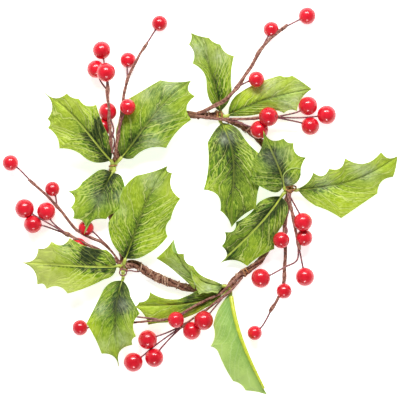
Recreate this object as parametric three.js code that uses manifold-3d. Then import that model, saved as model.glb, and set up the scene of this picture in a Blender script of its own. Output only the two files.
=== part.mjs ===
// A holly wreath that lies flat: five picks of holly are wired nose to tail into a ring of twisted twig.
// Each pick has a moulded collar with three stalks, three spiny leaves, and two sprays of berries.
// Millimetres, +Z up. The origin is on the surface that the wreath lies on, below the middle of its outline.
import * as THREE from "three";
import { mergeVertices } from "three/addons/utils/BufferGeometryUtils.js";
import Module from "manifold-3d";

const wasm = await Module();
wasm.setup();

// Leaf blades
const bladeThickness = 0.7;
const marginSteps = 20;
const halfColumns = 2;
const stalkHalfWidth = 1;
const crownShare = 0.07;

// Berry sprays
const stemRadius = 0.95;
const stemSides = 5;
const stemStep = 9;
const ballDetail = 1;
const wireRadius = 0.5;
const wireSides = 4;
const wireStep = 7;
const forkSetback = 0.4; // in steps of the stem, from its end
const wireDepthShare = 0.4; // of the berry's radius

// Twig ring
const ringHeight = 3.1;
const twigRadius = 2.05;
const strandBulge = 0.4;
const strands = 3;
const twigSides = 12;
const twigStep = 8;
const twistPitch = 60;
const wrapRadius = 2.35;
const wrapThickness = 0.6;
const wrapSpacing = 1.9;
const wrapSides = 4;
const wrapSegments = 8;
const collarClearance = 5.7;

// Collars
const collarRadius = 3.5;
const collarHalfLength = 3.5;
const collarSides = 8;
const collarEndShare = 0.8; // of the radius
const collarBarrelShare = 0.5; // of the length
const petioleRadius = 1.05;
const petioleGap = 0.7;
const petioleLead = 1.5;
const petioleSides = 5;
const petioleSteps = 2;

const weldDistance = 1e-4;

const paint = (color, roughness) => new THREE.MeshStandardMaterial({ color, roughness, metalness: 0 });
const leafGreen = () => paint("#6f9a24", 0.45);
const leafUnderside = () => paint("#8fb95f", 0.6);
const collarGreen = () => paint("#cdd35f", 0.5);
const berryRed = () => paint("#d5162a", 0.15);
const twigBrown = () => paint("#7a4a32", 0.85);

// Leaves. rib: four points [x, y, height] from stalk to tip. left and right, seen from the stalk: the
// margin's corners [x, y, bay], where bay is how deep the bay before that corner is, as a share of its
// chord, and is below zero where the margin bulges; a fourth number is that corner's own height over the
// rib. The last entry is the bay before the tip. lift: how far the margin stands over the rib, at the stalk
// and at the tip, left then right. wave: how far the corners turn up and down in turn. One leaf is turned
// over, so that it shows its paler underside.
const leaves = {
  leaf_top_1: {
    rib: [[13.5, 60.5, 6.5], [10, 76, 10], [4.5, 94, 12], [-6, 112, 11]],
    left: [[4.5, 76.5, -0.13], [-5, 91.5, 0.17], [-7.5, 104, 0.18], [0.12]],
    right: [[21, 75.5, -0.12], [22.5, 96.5, 0.05], [13.5, 104, 0.15], [6, 108.5, 0.1], [0.05]],
    lift: [1, 3, 1, 3],
    wave: 1,
  },
  leaf_top_2: {
    rib: [[19.5, 57.5, 6], [33.5, 64, 8.5], [50.5, 69.5, 9], [74.5, 74.5, 8]],
    left: [[25.5, 71.5, -0.12], [53.5, 83.5, -0.05], [61.5, 83.5, 0.12], [-0.02]],
    right: [[42, 58.5, -0.03], [56, 58.5, 0.15], [64.5, 60, 0.18], [0.12]],
    lift: [-1, -1, -0.3, -0.5],
    wave: 0.5,
  },
  leaf_top_3: {
    rib: [[14.5, 51.5, 6], [22, 29.5, 8.5], [22, 7.5, 9], [21, -17.5, 8]],
    left: [
      [26.5, 46.5, -0.1], [39.5, 31.5, 0.05], [41.5, 20, 0.12], [39.5, 10, 0.12], [37.5, -4.5, 0.04],
      [0.07],
    ],
    right: [[5, 38.5, -0.05], [2.4, 7.5, 0.06], [13.5, -6.5, 0.28], [0.1]],
    lift: [0.5, 1, 1.5, 2],
    wave: 0.8,
  },
  leaf_right_1: {
    rib: [[56, 10, 8], [52.5, 22, 13], [47.5, 33.5, 15.5], [42, 46.5, 16.5]],
    left: [[46.5, 6.5, -0.25], [33.5, 14, -0.03], [34, 26.5, 0.15], [0.14]],
    right: [[67, 18, -0.22], [70.5, 29, 0.1], [62, 38.5, 0.26], [55.5, 41.5, 0.17], [0.28]],
    lift: [1.5, 1, 2, 2],
    wave: 0.8,
  },
  leaf_right_2: {
    rib: [[66, 7.5, 6], [86.5, 10, 9], [108, 16, 9.5], [131.5, 30, 7]],
    left: [[75.5, 19, 0.12], [86, 21.5, 0.33], [96.5, 28.5, 0.3], [120.5, 32.5, 0.23], [0.24]],
    right: [[77.5, -3.5, -0.06], [94, -11.5, 0.04], [118, 5, 0], [128.5, 16, 0.22], [-0.05]],
    lift: [1.5, 2, 1.5, 2],
    wave: 1,
  },
  leaf_right_3: {
    rib: [[54, 2.5, 6.3], [42.5, -12.5, 6.6], [30, -25.5, 6], [13.5, -41.5, 4]],
    left: [[57.5, -10, -0.2], [54.5, -17, -0.03], [49.5, -32, 0.1], [31.5, -43.5, 0.05], [0.17]],
    right: [[38.5, -1.5, -0.1], [24, -14, 0.1], [16.5, -20.5, 0.33], [14.5, -30, 0.16], [0.35]],
    lift: [0.8, 1, 0.2, 0.5],
    wave: 0.4,
  },
  leaf_bottom_1: {
    rib: [[14.6, -56.6, 8], [0, -52.7, 9.8], [-11, -43.5, 12.5], [-17.5, -25.5, 14]],
    left: [
      [11.5, -61.6, 0, 2.2], [4.7, -61.3, 0.12, 1], [-0.5, -62.3, 0.12, 1], [-6, -46.5, -0.03, 3.5],
      [-3.5, -58.5, 0, -2.5], [-16.7, -46.7, 0, -1.5], [-29, -38, 0.03, 0], [0.05],
    ],
    right: [[5.3, -51.6, -0.02], [-4.5, -43.2, 0.1], [-10.7, -35, 0.22], [0.42]],
    lift: [1, 0, 2.5, 1],
    wave: 0.6,
  },
  leaf_bottom_2: {
    rib: [[14, -62, 5.8], [-2, -67.5, 6.3], [-21.5, -69.5, 6.5], [-43.5, -70.5, 5]],
    left: [[3.5, -71.3, -0.06], [-21.5, -81, -0.05], [-34.5, -82.5, 0.03], [0.12]],
    right: [[-2.5, -60, -0.1], [-14.5, -65.5, 0.03], [-33.5, -60.5, 0.1], [-40.5, -67.5, 0.25], [0.1]],
    lift: [0, 0, 0.5, 0.8],
    wave: 0.3,
  },
  leaf_bottom_3: {
    rib: [[20.5, -62, 7], [26, -87.5, 15], [34.7, -109, 14], [44.5, -129, 8]],
    left: [[20.5, -70, 0.02, -5], [24, -89.5, 0, -10], [31.5, -107.5, 0, -9], [0.04]],
    right: [
      [8.9, -83, -0.08], [7, -96.7, 0.14], [11.8, -100, 0.1], [22, -120, -0.02], [30.4, -126.2, 0.12],
      [0.04],
    ],
    lift: [-9, -9, -3, -4],
    wave: 0.8,
    showsUnderside: true,
  },
  leaf_left_1: {
    rib: [[-49.5, -38, 7.3], [-41.5, -15.5, 9.5], [-33.5, 4, 11], [-21.5, 23.5, 10]],
    left: [[-61, -14.5, -0.12], [-53.5, -5, -0.05], [-42, 17, -0.15], [0.04]],
    right: [
      [-35.5, -35.5, -0.1], [-21.5, -23.5, -0.06], [-19.5, -12, 0.19], [-13, 1.5, 0.06],
      [-18.5, 18.5, 0.2], [0.4],
    ],
    lift: [1.5, 2, 1.5, 2],
    wave: 0.8,
  },
  leaf_left_2: {
    rib: [[-56, -43.5, 6.5], [-76, -43.5, 13.2], [-97.5, -42, 14.5], [-118, -41, 10]],
    left: [[-63.5, -52, -0.18], [-88, -61.5, -0.03], [-102, -58.5, 0.23], [-108, -55.5, 0.3], [0.19]],
    right: [
      [-62.5, -32.5, -0.12], [-86.5, -24.5, 0.04], [-98.5, -27, 0.3], [-107.5, -31.5, 0.2], [0.25],
    ],
    lift: [0, -2, 1, 1],
    wave: 0.6,
  },
  leaf_left_3: {
    rib: [[-52, -53.5, 6.5], [-55.5, -68, 11.5], [-56.5, -86, 12.5], [-54, -110.5, 8]],
    left: [[-46.5, -63.5, -0.1], [-40.2, -75, 0], [-42.5, -90, 0.21], [-45, -95.5, 0.25], [0.28]],
    right: [[-64.5, -59.5, -0.15], [-75.5, -81.5, 0], [-65.5, -101.5, 0.03], [0.23]],
    lift: [0, 0, -0.5, -1.5],
    wave: 0.8,
  },
  leaf_upper_1: {
    rib: [[-60, 27.5, 7], [-72, 42, 13], [-85.5, 57.5, 13.5], [-103.5, 72, 10]],
    left: [[-77.5, 29.5, -0.15], [-93.5, 35, 0.11], [-101, 48.5, 0.15], [-101.5, 54.5, 0.28], [0.24]],
    right: [[-60, 42, -0.08], [-69, 64, 0.03], [-80.5, 68, 0.23], [-88.5, 71.5, 0.12], [0.23]],
    lift: [1, 0, 1, 1],
    wave: 0.8,
  },
  leaf_upper_2: {
    rib: [[-52, 29.5, 6.5], [-39.5, 46, 9], [-25.5, 63.5, 10], [-6, 80, 9]],
    left: [[-55.5, 48.5, -0.08], [-53.5, 64.5, 0.06], [-26.5, 80.5, 0], [0.05]],
    right: [[-44.5, 28.5, -0.1], [-22.5, 35.5, 0.14], [-6, 54, 0.07], [-3.5, 69.5, 0.27], [0.3]],
    lift: [-1, -2, 1.5, 2],
    wave: 0.8,
  },
  leaf_upper_3: {
    rib: [[-58.5, 18.5, 6], [-64.5, 7.5, 6.5], [-70.5, -6.5, 8], [-77, -22, 12]],
    left: [[-52.5, 16.5, -0.15], [-50.5, 0.5, -0.08], [-54.5, -8.5, 0.05], [-62.5, -12, 0.2], [0.24]],
    right: [
      [-68.5, 20, -0.16], [-78.5, 12.5, 0], [-87.5, 6.5, 0.15], [-86, -4.5, 0.3], [-84.5, -11.5, 0.2],
      [0.35],
    ],
    lift: [0, 0, 0.5, 1],
    wave: 0.5,
  },
};

// Sprays. stem: its route. Each berry ends a wire of its own, which leaves the stem at the share off of its
// length and goes by way of the points in wire.
const sprays = {
  spray_top_small: {
    stem: [
      [4.5, 60.5, 7], [10, 63.5, 10], [16.5, 67, 12.4], [22, 72, 12.4], [27, 79, 11], [34, 89.5, 10],
      [42, 103, 9], [52.5, 113, 8], [58.5, 117.5, 7.5],
    ],
    berries: [
      { at: [71.5, 123.5, 5.6], radius: 5.5, off: 1, wire: [[65.5, 120.5, 7]] },
      { at: [47.5, 114.5, 5.6], radius: 5, off: 0.71, wire: [[45.5, 110, 7]] },
      { at: [37.5, 81, 12.8], radius: 5.1, off: 0.34, wire: [[32, 79.5, 11.5]] },
    ],
  },
  spray_top_large: {
    stem: [[3.5, 55.5, 6.5], [13.5, 54.5, 8.6], [26.5, 54.5, 10.1], [41.5, 55.5, 10], [53.5, 56, 9]],
    berries: [
      { at: [72, 63.5, 6.4], radius: 6.2, off: 1, wire: [[65.5, 59.5, 8]] },
      { at: [84.5, 57.5, 6.3], radius: 6.1, off: 1, wire: [[66.5, 55.5, 8], [78.5, 56.5, 7]] },
      { at: [73.5, 50, 6], radius: 5.8, off: 1, wire: [[68, 52, 7]] },
      { at: [45.5, 56, 14], radius: 6.2, off: 0.67, wire: [[41.5, 55.5, 11]] },
      { at: [39.5, 47.5, 9.6], radius: 5.9, off: 0.4, wire: [[32, 50, 9.6]] },
    ],
  },
  spray_right_large: {
    stem: [[59, 4.7, 7.4], [60.3, -3, 8.6], [62.2, -12.5, 8.5], [64.2, -22.5, 8], [66.5, -32.5, 8]],
    berries: [
      { at: [68.5, -14, 10.5], radius: 6, off: 0.07, wire: [[66, -8, 9.5]] },
      { at: [69.5, -24.5, 6.1], radius: 5.4, off: 0.25, wire: [[66, -18, 7.5]] },
      { at: [40.5, -51.5, 6.4], radius: 6.2, off: 1,
        wire: [[64.5, -39.5, 9], [56.5, -44, 9.5], [46.5, -49.5, 8]] },
      { at: [70, -50.5, 6.3], radius: 6, off: 1, wire: [[68.5, -43.5, 7]] },
    ],
  },
  spray_right_small: {
    stem: [
      [61.4, 1.2, 5.4], [59, -4.5, 4], [57, -11.5, 3.6], [56.5, -18, 4.3], [56.8, -25, 5.8],
      [57, -32.5, 6.5], [56.5, -42.5, 6.5], [55.5, -56, 6.5], [51.5, -65.5, 6.5], [46.5, -74, 6.5],
    ],
    berries: [
      { at: [36.5, -88, 5.1], radius: 4.7, off: 1, wire: [[41.5, -83.5, 5.6]] },
      { at: [56, -60, 7.5], radius: 4.9, off: 0.66, wire: [[56, -55.5, 7]] },
      { at: [54, -26, 11.5], radius: 5.3, off: 0.21, wire: [[58, -20.5, 8.5]] },
    ],
  },
  spray_bottom_small: {
    stem: [
      [21, -54.5, 7.9], [17.7, -57.9, 9.7], [15.5, -60.2, 9.2], [12.8, -62.3, 8.1], [6.5, -65, 8.1],
      [0, -68, 8.5],
      [-11.5, -74.5, 9], [-21.5, -78.5, 9.2], [-33.5, -80, 8.8], [-44, -81, 7.2], [-60, -82.5, 5.8],
      [-70.5, -84, 5.2],
    ],
    berries: [
      { at: [-80, -84.5, 5.2], radius: 5, off: 1, wire: [[-74.5, -84.5, 5.2]] },
      { at: [-16, -79, 12.5], radius: 5.2, off: 0.32, wire: [[-10.5, -74.5, 10]] },
      { at: [-48.5, -76.5, 5.3], radius: 4.9, off: 0.5, wire: [[-30, -78.5, 8.6], [-40, -77.5, 7]] },
    ],
  },
  spray_bottom_large: {
    stem: [
      [24.5, -56, 7.8], [20.2, -60, 9.3], [15, -63.9, 9.2], [9.6, -68.2, 9], [4.2, -72.4, 8.6],
      [-2.6, -76.8, 8.1], [-9.6, -81.8, 7.4], [-13.8, -85.3, 7],
    ],
    berries: [
      { at: [2.5, -79.5, 12.5], radius: 6.2, off: 0.22, wire: [[12.8, -67.2, 9.8], [7.6, -73.4, 10.8]] },
      { at: [-5.5, -86.5, 6.9], radius: 5.8, off: 0.67, wire: [[-2.5, -82, 7.5]] },
      { at: [-35, -92.5, 6.3], radius: 6.2, off: 1, wire: [[-22.5, -88, 6.8], [-29.5, -90.5, 6.5]] },
      { at: [-30.5, -104.5, 6.2], radius: 6, off: 1, wire: [[-20, -91.5, 6.8], [-27.5, -100, 6.5]] },
      { at: [-44.5, -107.5, 6.3], radius: 6.2, off: 1, wire: [[-29.5, -96, 6.8], [-38.5, -103.5, 6.5]] },
    ],
  },
  spray_left_small: {
    stem: [
      [-55.5, -35.8, 6.6], [-63.5, -28.8, 6.6], [-71, -25.2, 6.5], [-77.5, -22.2, 6.5],
      [-82.5, -19.2, 6.8], [-87.5, -13.2, 7], [-94.5, -4.5, 7], [-101, 2.5, 7], [-107.5, 8.5, 6.5],
      [-114.5, 14.5, 6],
    ],
    berries: [
      { at: [-126.5, 25.5, 5.3], radius: 5.1, off: 1, wire: [[-121.5, 22, 5.5]] },
      { at: [-98.5, 8, 5.1], radius: 4.8, off: 0.65, wire: [[-96.5, 3.5, 6]] },
      { at: [-76, -18, 5.2], radius: 5, off: 0.13, wire: [[-71.5, -20.5, 6]] },
    ],
  },
  spray_left_large: {
    stem: [
      [-54.5, -40, 6.7], [-60, -36.9, 6.5], [-66.5, -32.9, 6.4], [-76.5, -28.4, 6.9], [-86.5, -23.2, 7.7],
      [-91.5, -20.7, 8],
    ],
    berries: [
      { at: [-102.5, -7, 6.3], radius: 6, off: 1, wire: [[-98.5, -14, 8]] },
      { at: [-111.5, -15.5, 6], radius: 5.8, off: 1, wire: [[-104.5, -16.5, 7]] },
      { at: [-117, -5, 6.4], radius: 6.2, off: 1, wire: [[-101.5, -14.5, 9.5], [-109.5, -10, 8]] },
      { at: [-81.5, -30.5, 6.2], radius: 5.8, off: 0.53, wire: [[-77.5, -29.5, 7]] },
      { at: [-74.5, -37.5, 6.1], radius: 5.7, off: 0.29, wire: [[-70, -36, 6.5]] },
    ],
  },
  spray_upper_small: {
    stem: [
      [-56.5, 25.5, 7.9], [-56.5, 30.5, 9.8], [-55, 40.5, 11], [-53.5, 50.5, 11], [-52, 60.5, 11.5],
      [-50, 74, 11], [-48, 81.5, 10.5], [-45.5, 87.5, 10], [-42, 94, 9.5], [-39, 99.5, 9],
      [-35, 105.5, 8.5],
    ],
    berries: [
      { at: [-27, 118.5, 5.4], radius: 5.1, off: 1, wire: [[-29.5, 114.5, 6.5]] },
      { at: [-48, 94, 5.5], radius: 5, off: 0.67, wire: [[-48.5, 88.5, 8]] },
      { at: [-48, 62.5, 14.7], radius: 5.1, off: 0.25, wire: [[-51.5, 55.5, 12.5]] },
    ],
  },
  spray_upper_large: {
    stem: [
      [-59.5, 24.5, 8.6], [-58.5, 34, 13], [-59.5, 42, 15.2], [-60.5, 54, 15.5], [-60.5, 62, 15.5],
      [-61.5, 70.5, 14], [-61.5, 78.5, 13], [-63.5, 90, 10.5],
    ],
    berries: [
      { at: [-65.5, 100.5, 8], radius: 5.8, off: 1, wire: [[-64.5, 96, 9]] },
      { at: [-62.5, 85.5, 15.5], radius: 6, off: 0.76, wire: [[-62, 80.5, 14]] },
      { at: [-69.5, 88, 6.5], radius: 5.7, off: 0.7, wire: [[-66, 79.5, 10]] },
      { at: [-61.5, 59.5, 8.8], radius: 5.8, off: 0.2, wire: [[-57.5, 47.5, 11]] },
      { at: [-64.5, 49.5, 6.1], radius: 5.6, off: 0.17, wire: [[-57, 39.5, 9.5], [-59.5, 46.5, 7]] },
    ],
  },
};

// Ring. Each stretch of twig runs from one pick's collar to the next one's, by way of these [x, y] points.
// wraps: where binding tape is wound on the twig, as shares of the stretch, with the number of turns.
const stretches = {
  top: {
    route: [
      [12.5, 57.5], [20, 53.6], [26.7, 50.7], [33.8, 46.2], [41.7, 38.2], [50.2, 27.6], [56, 17.5],
      [59.5, 8.5],
    ],
    collarAlong: [1, -0.35],
    wraps: [],
  },
  right: {
    route: [
      [59.5, 8.5], [58.2, 2.5], [54.5, -4], [51, -10], [49, -18], [46.5, -27], [41.5, -38], [34.5, -44.5],
      [23.5, -52], [19.5, -57.5],
    ],
    collarAlong: [0.1, -1],
    wraps: [[0.82, 2]],
  },
  bottom: {
    route: [
      [19.5, -57.5], [8, -59.5], [-4.5, -58.4], [-13.5, -56.5], [-24.5, -52.9], [-34.5, -47.8],
      [-44.5, -42.1], [-51.5, -44.5],
    ],
    collarAlong: [-0.75, -0.65],
    wraps: [[0.63, 3]],
  },
  left: {
    route: [
      [-51.5, -44.5], [-51.5, -37], [-53.5, -29], [-56.5, -20], [-59, -10], [-60.5, 1], [-59.5, 12.5],
      [-58, 23.5],
    ],
    collarAlong: [-0.55, 0.83],
    wraps: [],
  },
  upper: {
    route: [
      [-58, 23.5], [-53.5, 34], [-44.5, 44.5], [-33.5, 52.5], [-20, 57.5], [-6.5, 57.5], [3.5, 57],
      [12.5, 57.5],
    ],
    collarAlong: [0.2, 1],
    wraps: [],
  },
};

// The hook of wire that ties the left pick to the twig, and the loop at its end.
const hook = {
  route: [[-41.5, -47.5, 3], [-46.5, -46.5, 5], [-49, -46.8, 7.9]],
  loopCentre: [-51.3, -47.6, 7.9],
  loopRadius: 2.3,
  wireRadius: 0.45,
  steps: 4,
  loopSegments: 12,
};

const vector = (point) => new THREE.Vector3(...point);

// A solid for unions and cuts, from a geometry whose seams are welded first.
function solid(geometry) {
  const bare = geometry.clone();
  bare.deleteAttribute("normal");
  bare.deleteAttribute("uv");
  const merged = mergeVertices(bare, weldDistance);
  return new wasm.Manifold(new wasm.Mesh({
    numProp: 3,
    vertProperties: new Float32Array(merged.attributes.position.array),
    triVerts: new Uint32Array(merged.index.array),
  }));
}

function geometryOf(manifold) {
  const { vertProperties, triVerts } = manifold.getMesh();
  const geometry = new THREE.BufferGeometry();
  geometry.setAttribute("position", new THREE.BufferAttribute(vertProperties, 3));
  geometry.setIndex(new THREE.BufferAttribute(triVerts, 1));
  geometry.computeVertexNormals();
  return geometry;
}

function named(name, geometry, material) {
  const mesh = new THREE.Mesh(geometry, material);
  mesh.name = name;
  return mesh;
}

// A round bar along a curve, closed at both ends.
function bar(curve, radius, sides, steps) {
  const corner = (i) => {
    const turn = (i / sides) * 2 * Math.PI;
    return new THREE.Vector2(radius * Math.cos(turn), radius * Math.sin(turn));
  };
  const section = new THREE.Shape(Array.from({ length: sides }, (_, i) => corner(i)));
  return solid(new THREE.ExtrudeGeometry(section, { steps, extrudePath: curve, bevelEnabled: false }));
}

const smooth = (points) => new THREE.CatmullRomCurve3(points.map(vector));

// One cubic curve through four points, which it reaches at 0, 1/3, 2/3 and 1.
function ribCurve(points) {
  const [start, near, far, tip] = points.map(vector);
  const handle = (a, b, c, d) => {
    const sum = a.clone().multiplyScalar(-5).addScaledVector(b, 18);
    return sum.addScaledVector(c, -9).addScaledVector(d, 2).divideScalar(6);
  };
  const first = handle(start, near, far, tip);
  const second = handle(tip, far, near, start);
  return new THREE.CubicBezierCurve3(start, first, second, tip);
}

// The margin of one half of a leaf, from stalk to tip, as marginSteps + 1 points.
function marginLine(leaf, rib, side) {
  const outward = side === "left" ? 1 : -1;
  const [liftAtStalk, liftAtTip] = side === "left" ? leaf.lift.slice(0, 2) : leaf.lift.slice(2);
  const along = rib.getTangent(0);
  const stalk = vector(leaf.rib[0]);
  stalk.add(new THREE.Vector3(-along.y, along.x, 0).setLength(outward * stalkHalfWidth));
  const entries = leaf[side];
  const spines = entries.slice(0, -1);
  const bays = [...spines.map((spine) => spine[2]), entries.at(-1)[0]];
  const corners = [stalk, ...spines.map(([x, y]) => new THREE.Vector3(x, y, 0)), vector(leaf.rib[3])];
  const reach = [0];
  for (let i = 1; i < corners.length; i += 1) {
    reach.push(reach[i - 1] + Math.hypot(corners[i].x - corners[i - 1].x, corners[i].y - corners[i - 1].y));
  }
  const share = reach.map((length) => length / reach.at(-1));
  spines.forEach(([, , , ownLift], i) => {
    const usual = THREE.MathUtils.lerp(liftAtStalk, liftAtTip, share[i + 1]) + leaf.wave * (-1) ** i;
    corners[i + 1].z = rib.getPoint(share[i + 1]).z + (ownLift ?? usual);
  });
  const line = [];
  for (let i = 0; i < bays.length; i += 1) {
    const first = Math.round(share[i] * marginSteps);
    const steps = Math.round(share[i + 1] * marginSteps) - first;
    const chord = corners[i + 1].clone().sub(corners[i]);
    const pressed = new THREE.Vector3(chord.y, -chord.x, 0).multiplyScalar(2 * outward * bays[i]);
    const middle = corners[i].clone().lerp(corners[i + 1], 0.5).add(pressed);
    const bay = new THREE.QuadraticBezierCurve3(corners[i], middle, corners[i + 1]);
    for (let step = 0; step < steps; step += 1) {
      line.push(bay.getPoint(step / steps));
    }
  }
  return [...line, corners.at(-1)];
}

// The middle surface of a blade: rows from the left margin over the rib to the right margin, then the tip.
function bladeSheet(leaf) {
  const rib = ribCurve(leaf.rib);
  const left = marginLine(leaf, rib, "left");
  const right = marginLine(leaf, rib, "right");
  const positions = [];
  for (let row = 0; row < marginSteps; row += 1) {
    const onRib = rib.getPoint(row / marginSteps);
    for (let column = -halfColumns; column <= halfColumns; column += 1) {
      const out = Math.abs(column) / halfColumns;
      const margin = column < 0 ? left[row] : right[row];
      const point = onRib.clone().lerp(margin, out);
      point.z += crownShare * onRib.distanceTo(margin) * 4 * out * (1 - out);
      positions.push(...point.toArray());
    }
  }
  positions.push(...leaf.rib[3]);
  const width = 2 * halfColumns + 1;
  const tip = marginSteps * width;
  const at = (row, column) => (row === marginSteps ? tip : row * width + column);
  const faces = [];
  for (let row = 0; row < marginSteps; row += 1) {
    for (let column = 0; column < width - 1; column += 1) {
      faces.push(at(row, column), at(row, column + 1), at(row + 1, column));
      if (row < marginSteps - 1) {
        faces.push(at(row, column + 1), at(row + 1, column + 1), at(row + 1, column));
      }
    }
  }
  const stalkRow = Array.from({ length: width }, (_, column) => at(0, column));
  const rows = Array.from({ length: marginSteps - 1 }, (_, i) => i + 1);
  const rightEdge = rows.map((row) => at(row, width - 1));
  const leftEdge = rows.map((row) => at(row, 0)).reverse();
  return { positions, faces, outline: [...stalkRow, ...rightEdge, tip, ...leftEdge] };
}

// A blade of even thickness: the sheet moved up and down along its normals, with a wall round its outline.
function blade(leaf) {
  const { positions, faces, outline } = bladeSheet(leaf);
  const sheet = new THREE.BufferGeometry();
  sheet.setAttribute("position", new THREE.Float32BufferAttribute(positions, 3));
  sheet.setIndex(faces);
  sheet.computeVertexNormals();
  const count = positions.length / 3;
  const both = [bladeThickness / 2, -bladeThickness / 2].flatMap((offset) =>
    positions.map((value, i) => value + offset * sheet.attributes.normal.array[i]));
  const walls = outline.flatMap((here, i) => {
    const next = outline[(i + 1) % outline.length];
    return [here, here + count, next + count, here, next + count, next];
  });
  const underside = faces.map((_, i) => faces[i - (i % 3) + (2 - (i % 3))] + count);
  const geometry = new THREE.BufferGeometry();
  geometry.setAttribute("position", new THREE.Float32BufferAttribute(both, 3));
  geometry.setIndex([...faces, ...underside, ...walls]);
  geometry.computeVertexNormals();
  return geometry;
}

const stepsFor = (curve, stepLength) => Math.max(2, Math.round(curve.getLength() / stepLength));

// A berry and the wire that carries it, from inside the stem to inside the berry.
function berryOnWire({ at, radius, off, wire }, stemCurve, stemSteps) {
  const knot = Math.min(Math.round(off * stemSteps), stemSteps - forkSetback);
  const fork = stemCurve.getPointAt(knot / stemSteps);
  const centre = vector(at);
  const last = vector(wire.at(-1));
  const inside = centre.clone().lerp(last, (wireDepthShare * radius) / centre.distanceTo(last));
  const route = smooth([fork.toArray(), ...wire, inside.toArray()]);
  const ball = solid(new THREE.IcosahedronGeometry(radius, ballDetail)).translate(at);
  return [ball, bar(route, wireRadius, wireSides, stepsFor(route, wireStep))];
}

function spray({ stem, berries }) {
  const curve = smooth(stem);
  const steps = stepsFor(curve, stemStep);
  const main = bar(curve, stemRadius, stemSides, steps);
  const branches = berries.flatMap((berry) => berryOnWire(berry, curve, steps));
  return geometryOf(wasm.Manifold.union([main, ...branches]));
}

// A twisted bar: rings of points round a path, which bulge out where the strands lie, and two flat ends.
function twistedBar(placeAt, length, steps) {
  const positions = [];
  for (let ring = 0; ring <= steps; ring += 1) {
    const { point, across, up } = placeAt(ring / steps);
    const twist = (ring / steps) * length * ((2 * Math.PI) / twistPitch);
    for (let side = 0; side < twigSides; side += 1) {
      const turn = (side / twigSides) * 2 * Math.PI;
      const radius = twigRadius + strandBulge * Math.cos(strands * (turn - twist));
      const spot = point.clone().addScaledVector(across, radius * Math.cos(turn));
      positions.push(...spot.addScaledVector(up, radius * Math.sin(turn)).toArray());
    }
  }
  const faces = [];
  for (let ring = 0; ring < steps; ring += 1) {
    for (let side = 0; side < twigSides; side += 1) {
      const here = ring * twigSides + side;
      const beside = ring * twigSides + ((side + 1) % twigSides);
      faces.push(here, beside, here + twigSides, beside, beside + twigSides, here + twigSides);
    }
  }
  [0, steps].forEach((ring) => {
    const middle = positions.length / 3;
    positions.push(...placeAt(ring / steps).point.toArray());
    for (let side = 0; side < twigSides; side += 1) {
      const edge = [ring * twigSides + side, ring * twigSides + ((side + 1) % twigSides)];
      faces.push(middle, ...(ring === 0 ? edge.reverse() : edge));
    }
  });
  const geometry = new THREE.BufferGeometry();
  geometry.setAttribute("position", new THREE.Float32BufferAttribute(positions, 3));
  geometry.setIndex(faces);
  return solid(geometry);
}

// One stretch of twig, with rolls of tape where it is bound.
function twig({ route, wraps }) {
  const path = smooth(route.map(([x, y]) => [x, y, ringHeight]));
  const length = path.getLength();
  const margin = collarClearance / length;
  const up = new THREE.Vector3(0, 0, 1);
  const placeAt = (share) => {
    const u = margin + share * (1 - 2 * margin);
    const along = path.getTangentAt(u);
    return { point: path.getPointAt(u), along, across: up.clone().cross(along), up };
  };
  const rolls = wraps.flatMap(([share, turns]) => Array.from({ length: turns }, (_, i) => {
    const { point, along } = placeAt(share + ((i - (turns - 1) / 2) * wrapSpacing) / length);
    const roll = new THREE.TorusGeometry(wrapRadius, wrapThickness, wrapSides, wrapSegments);
    roll.lookAt(along);
    return solid(roll).translate(point.toArray());
  }));
  const twisted = twistedBar(placeAt, length, Math.round(length / twigStep));
  return geometryOf(wasm.Manifold.union([twisted, ...rolls]));
}

// A collar: a barrel over the joint in the ring, flat underneath, with one stalk up to each leaf.
function collar(centre, along, ribs) {
  const profile = [
    [0, -1],
    [collarEndShare, -1],
    [1, -collarBarrelShare],
    [1, collarBarrelShare],
    [collarEndShare, 1],
    [0, 1],
  ].map(([radius, height]) => new THREE.Vector2(radius * collarRadius, height * collarHalfLength));
  const barrel = new THREE.LatheGeometry(profile, collarSides);
  barrel.applyQuaternion(new THREE.Quaternion().setFromUnitVectors(new THREE.Vector3(0, 1, 0), along));
  barrel.translate(centre.x, centre.y, ringHeight);
  const stalks = ribs.map((rib) => {
    const leafStart = vector(rib[0]);
    const into = ribCurve(rib).getTangent(0);
    const end = leafStart.clone().addScaledVector(into, -petioleGap);
    const before = leafStart.clone().addScaledVector(into, -petioleGap - petioleLead);
    const path = new THREE.CatmullRomCurve3([centre, before, end]);
    return bar(path, petioleRadius, petioleSides, petioleSteps);
  });
  const block = 4 * collarRadius;
  const below = solid(new THREE.BoxGeometry(block, block, block)).translate([centre.x, centre.y, -block / 2]);
  return geometryOf(wasm.Manifold.union([solid(barrel), ...stalks]).subtract(below));
}

const wreath = new THREE.Group();

for (const [name, leaf] of Object.entries(leaves)) {
  wreath.add(named(name, blade(leaf), leaf.showsUnderside ? leafUnderside() : leafGreen()));
}
for (const [name, parts] of Object.entries(sprays)) {
  wreath.add(named(name, spray(parts), berryRed()));
}
for (const [pick, stretch] of Object.entries(stretches)) {
  wreath.add(named(`twig_${pick}`, twig(stretch), twigBrown()));
  const [x, y] = stretch.route[0];
  const ribs = [1, 2, 3].map((number) => leaves[`leaf_${pick}_${number}`].rib);
  const centre = new THREE.Vector3(x, y, ringHeight);
  const along = new THREE.Vector3(...stretch.collarAlong, 0).normalize();
  wreath.add(named(`collar_${pick}`, collar(centre, along, ribs), collarGreen()));
}

const ring = solid(new THREE.TorusGeometry(hook.loopRadius, hook.wireRadius, wireSides, hook.loopSegments));
const shank = bar(smooth(hook.route), hook.wireRadius, wireSides, hook.steps);
wreath.add(named("hook_wire", geometryOf(shank.add(ring.translate(hook.loopCentre))), twigBrown()));

export default wreath;
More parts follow.
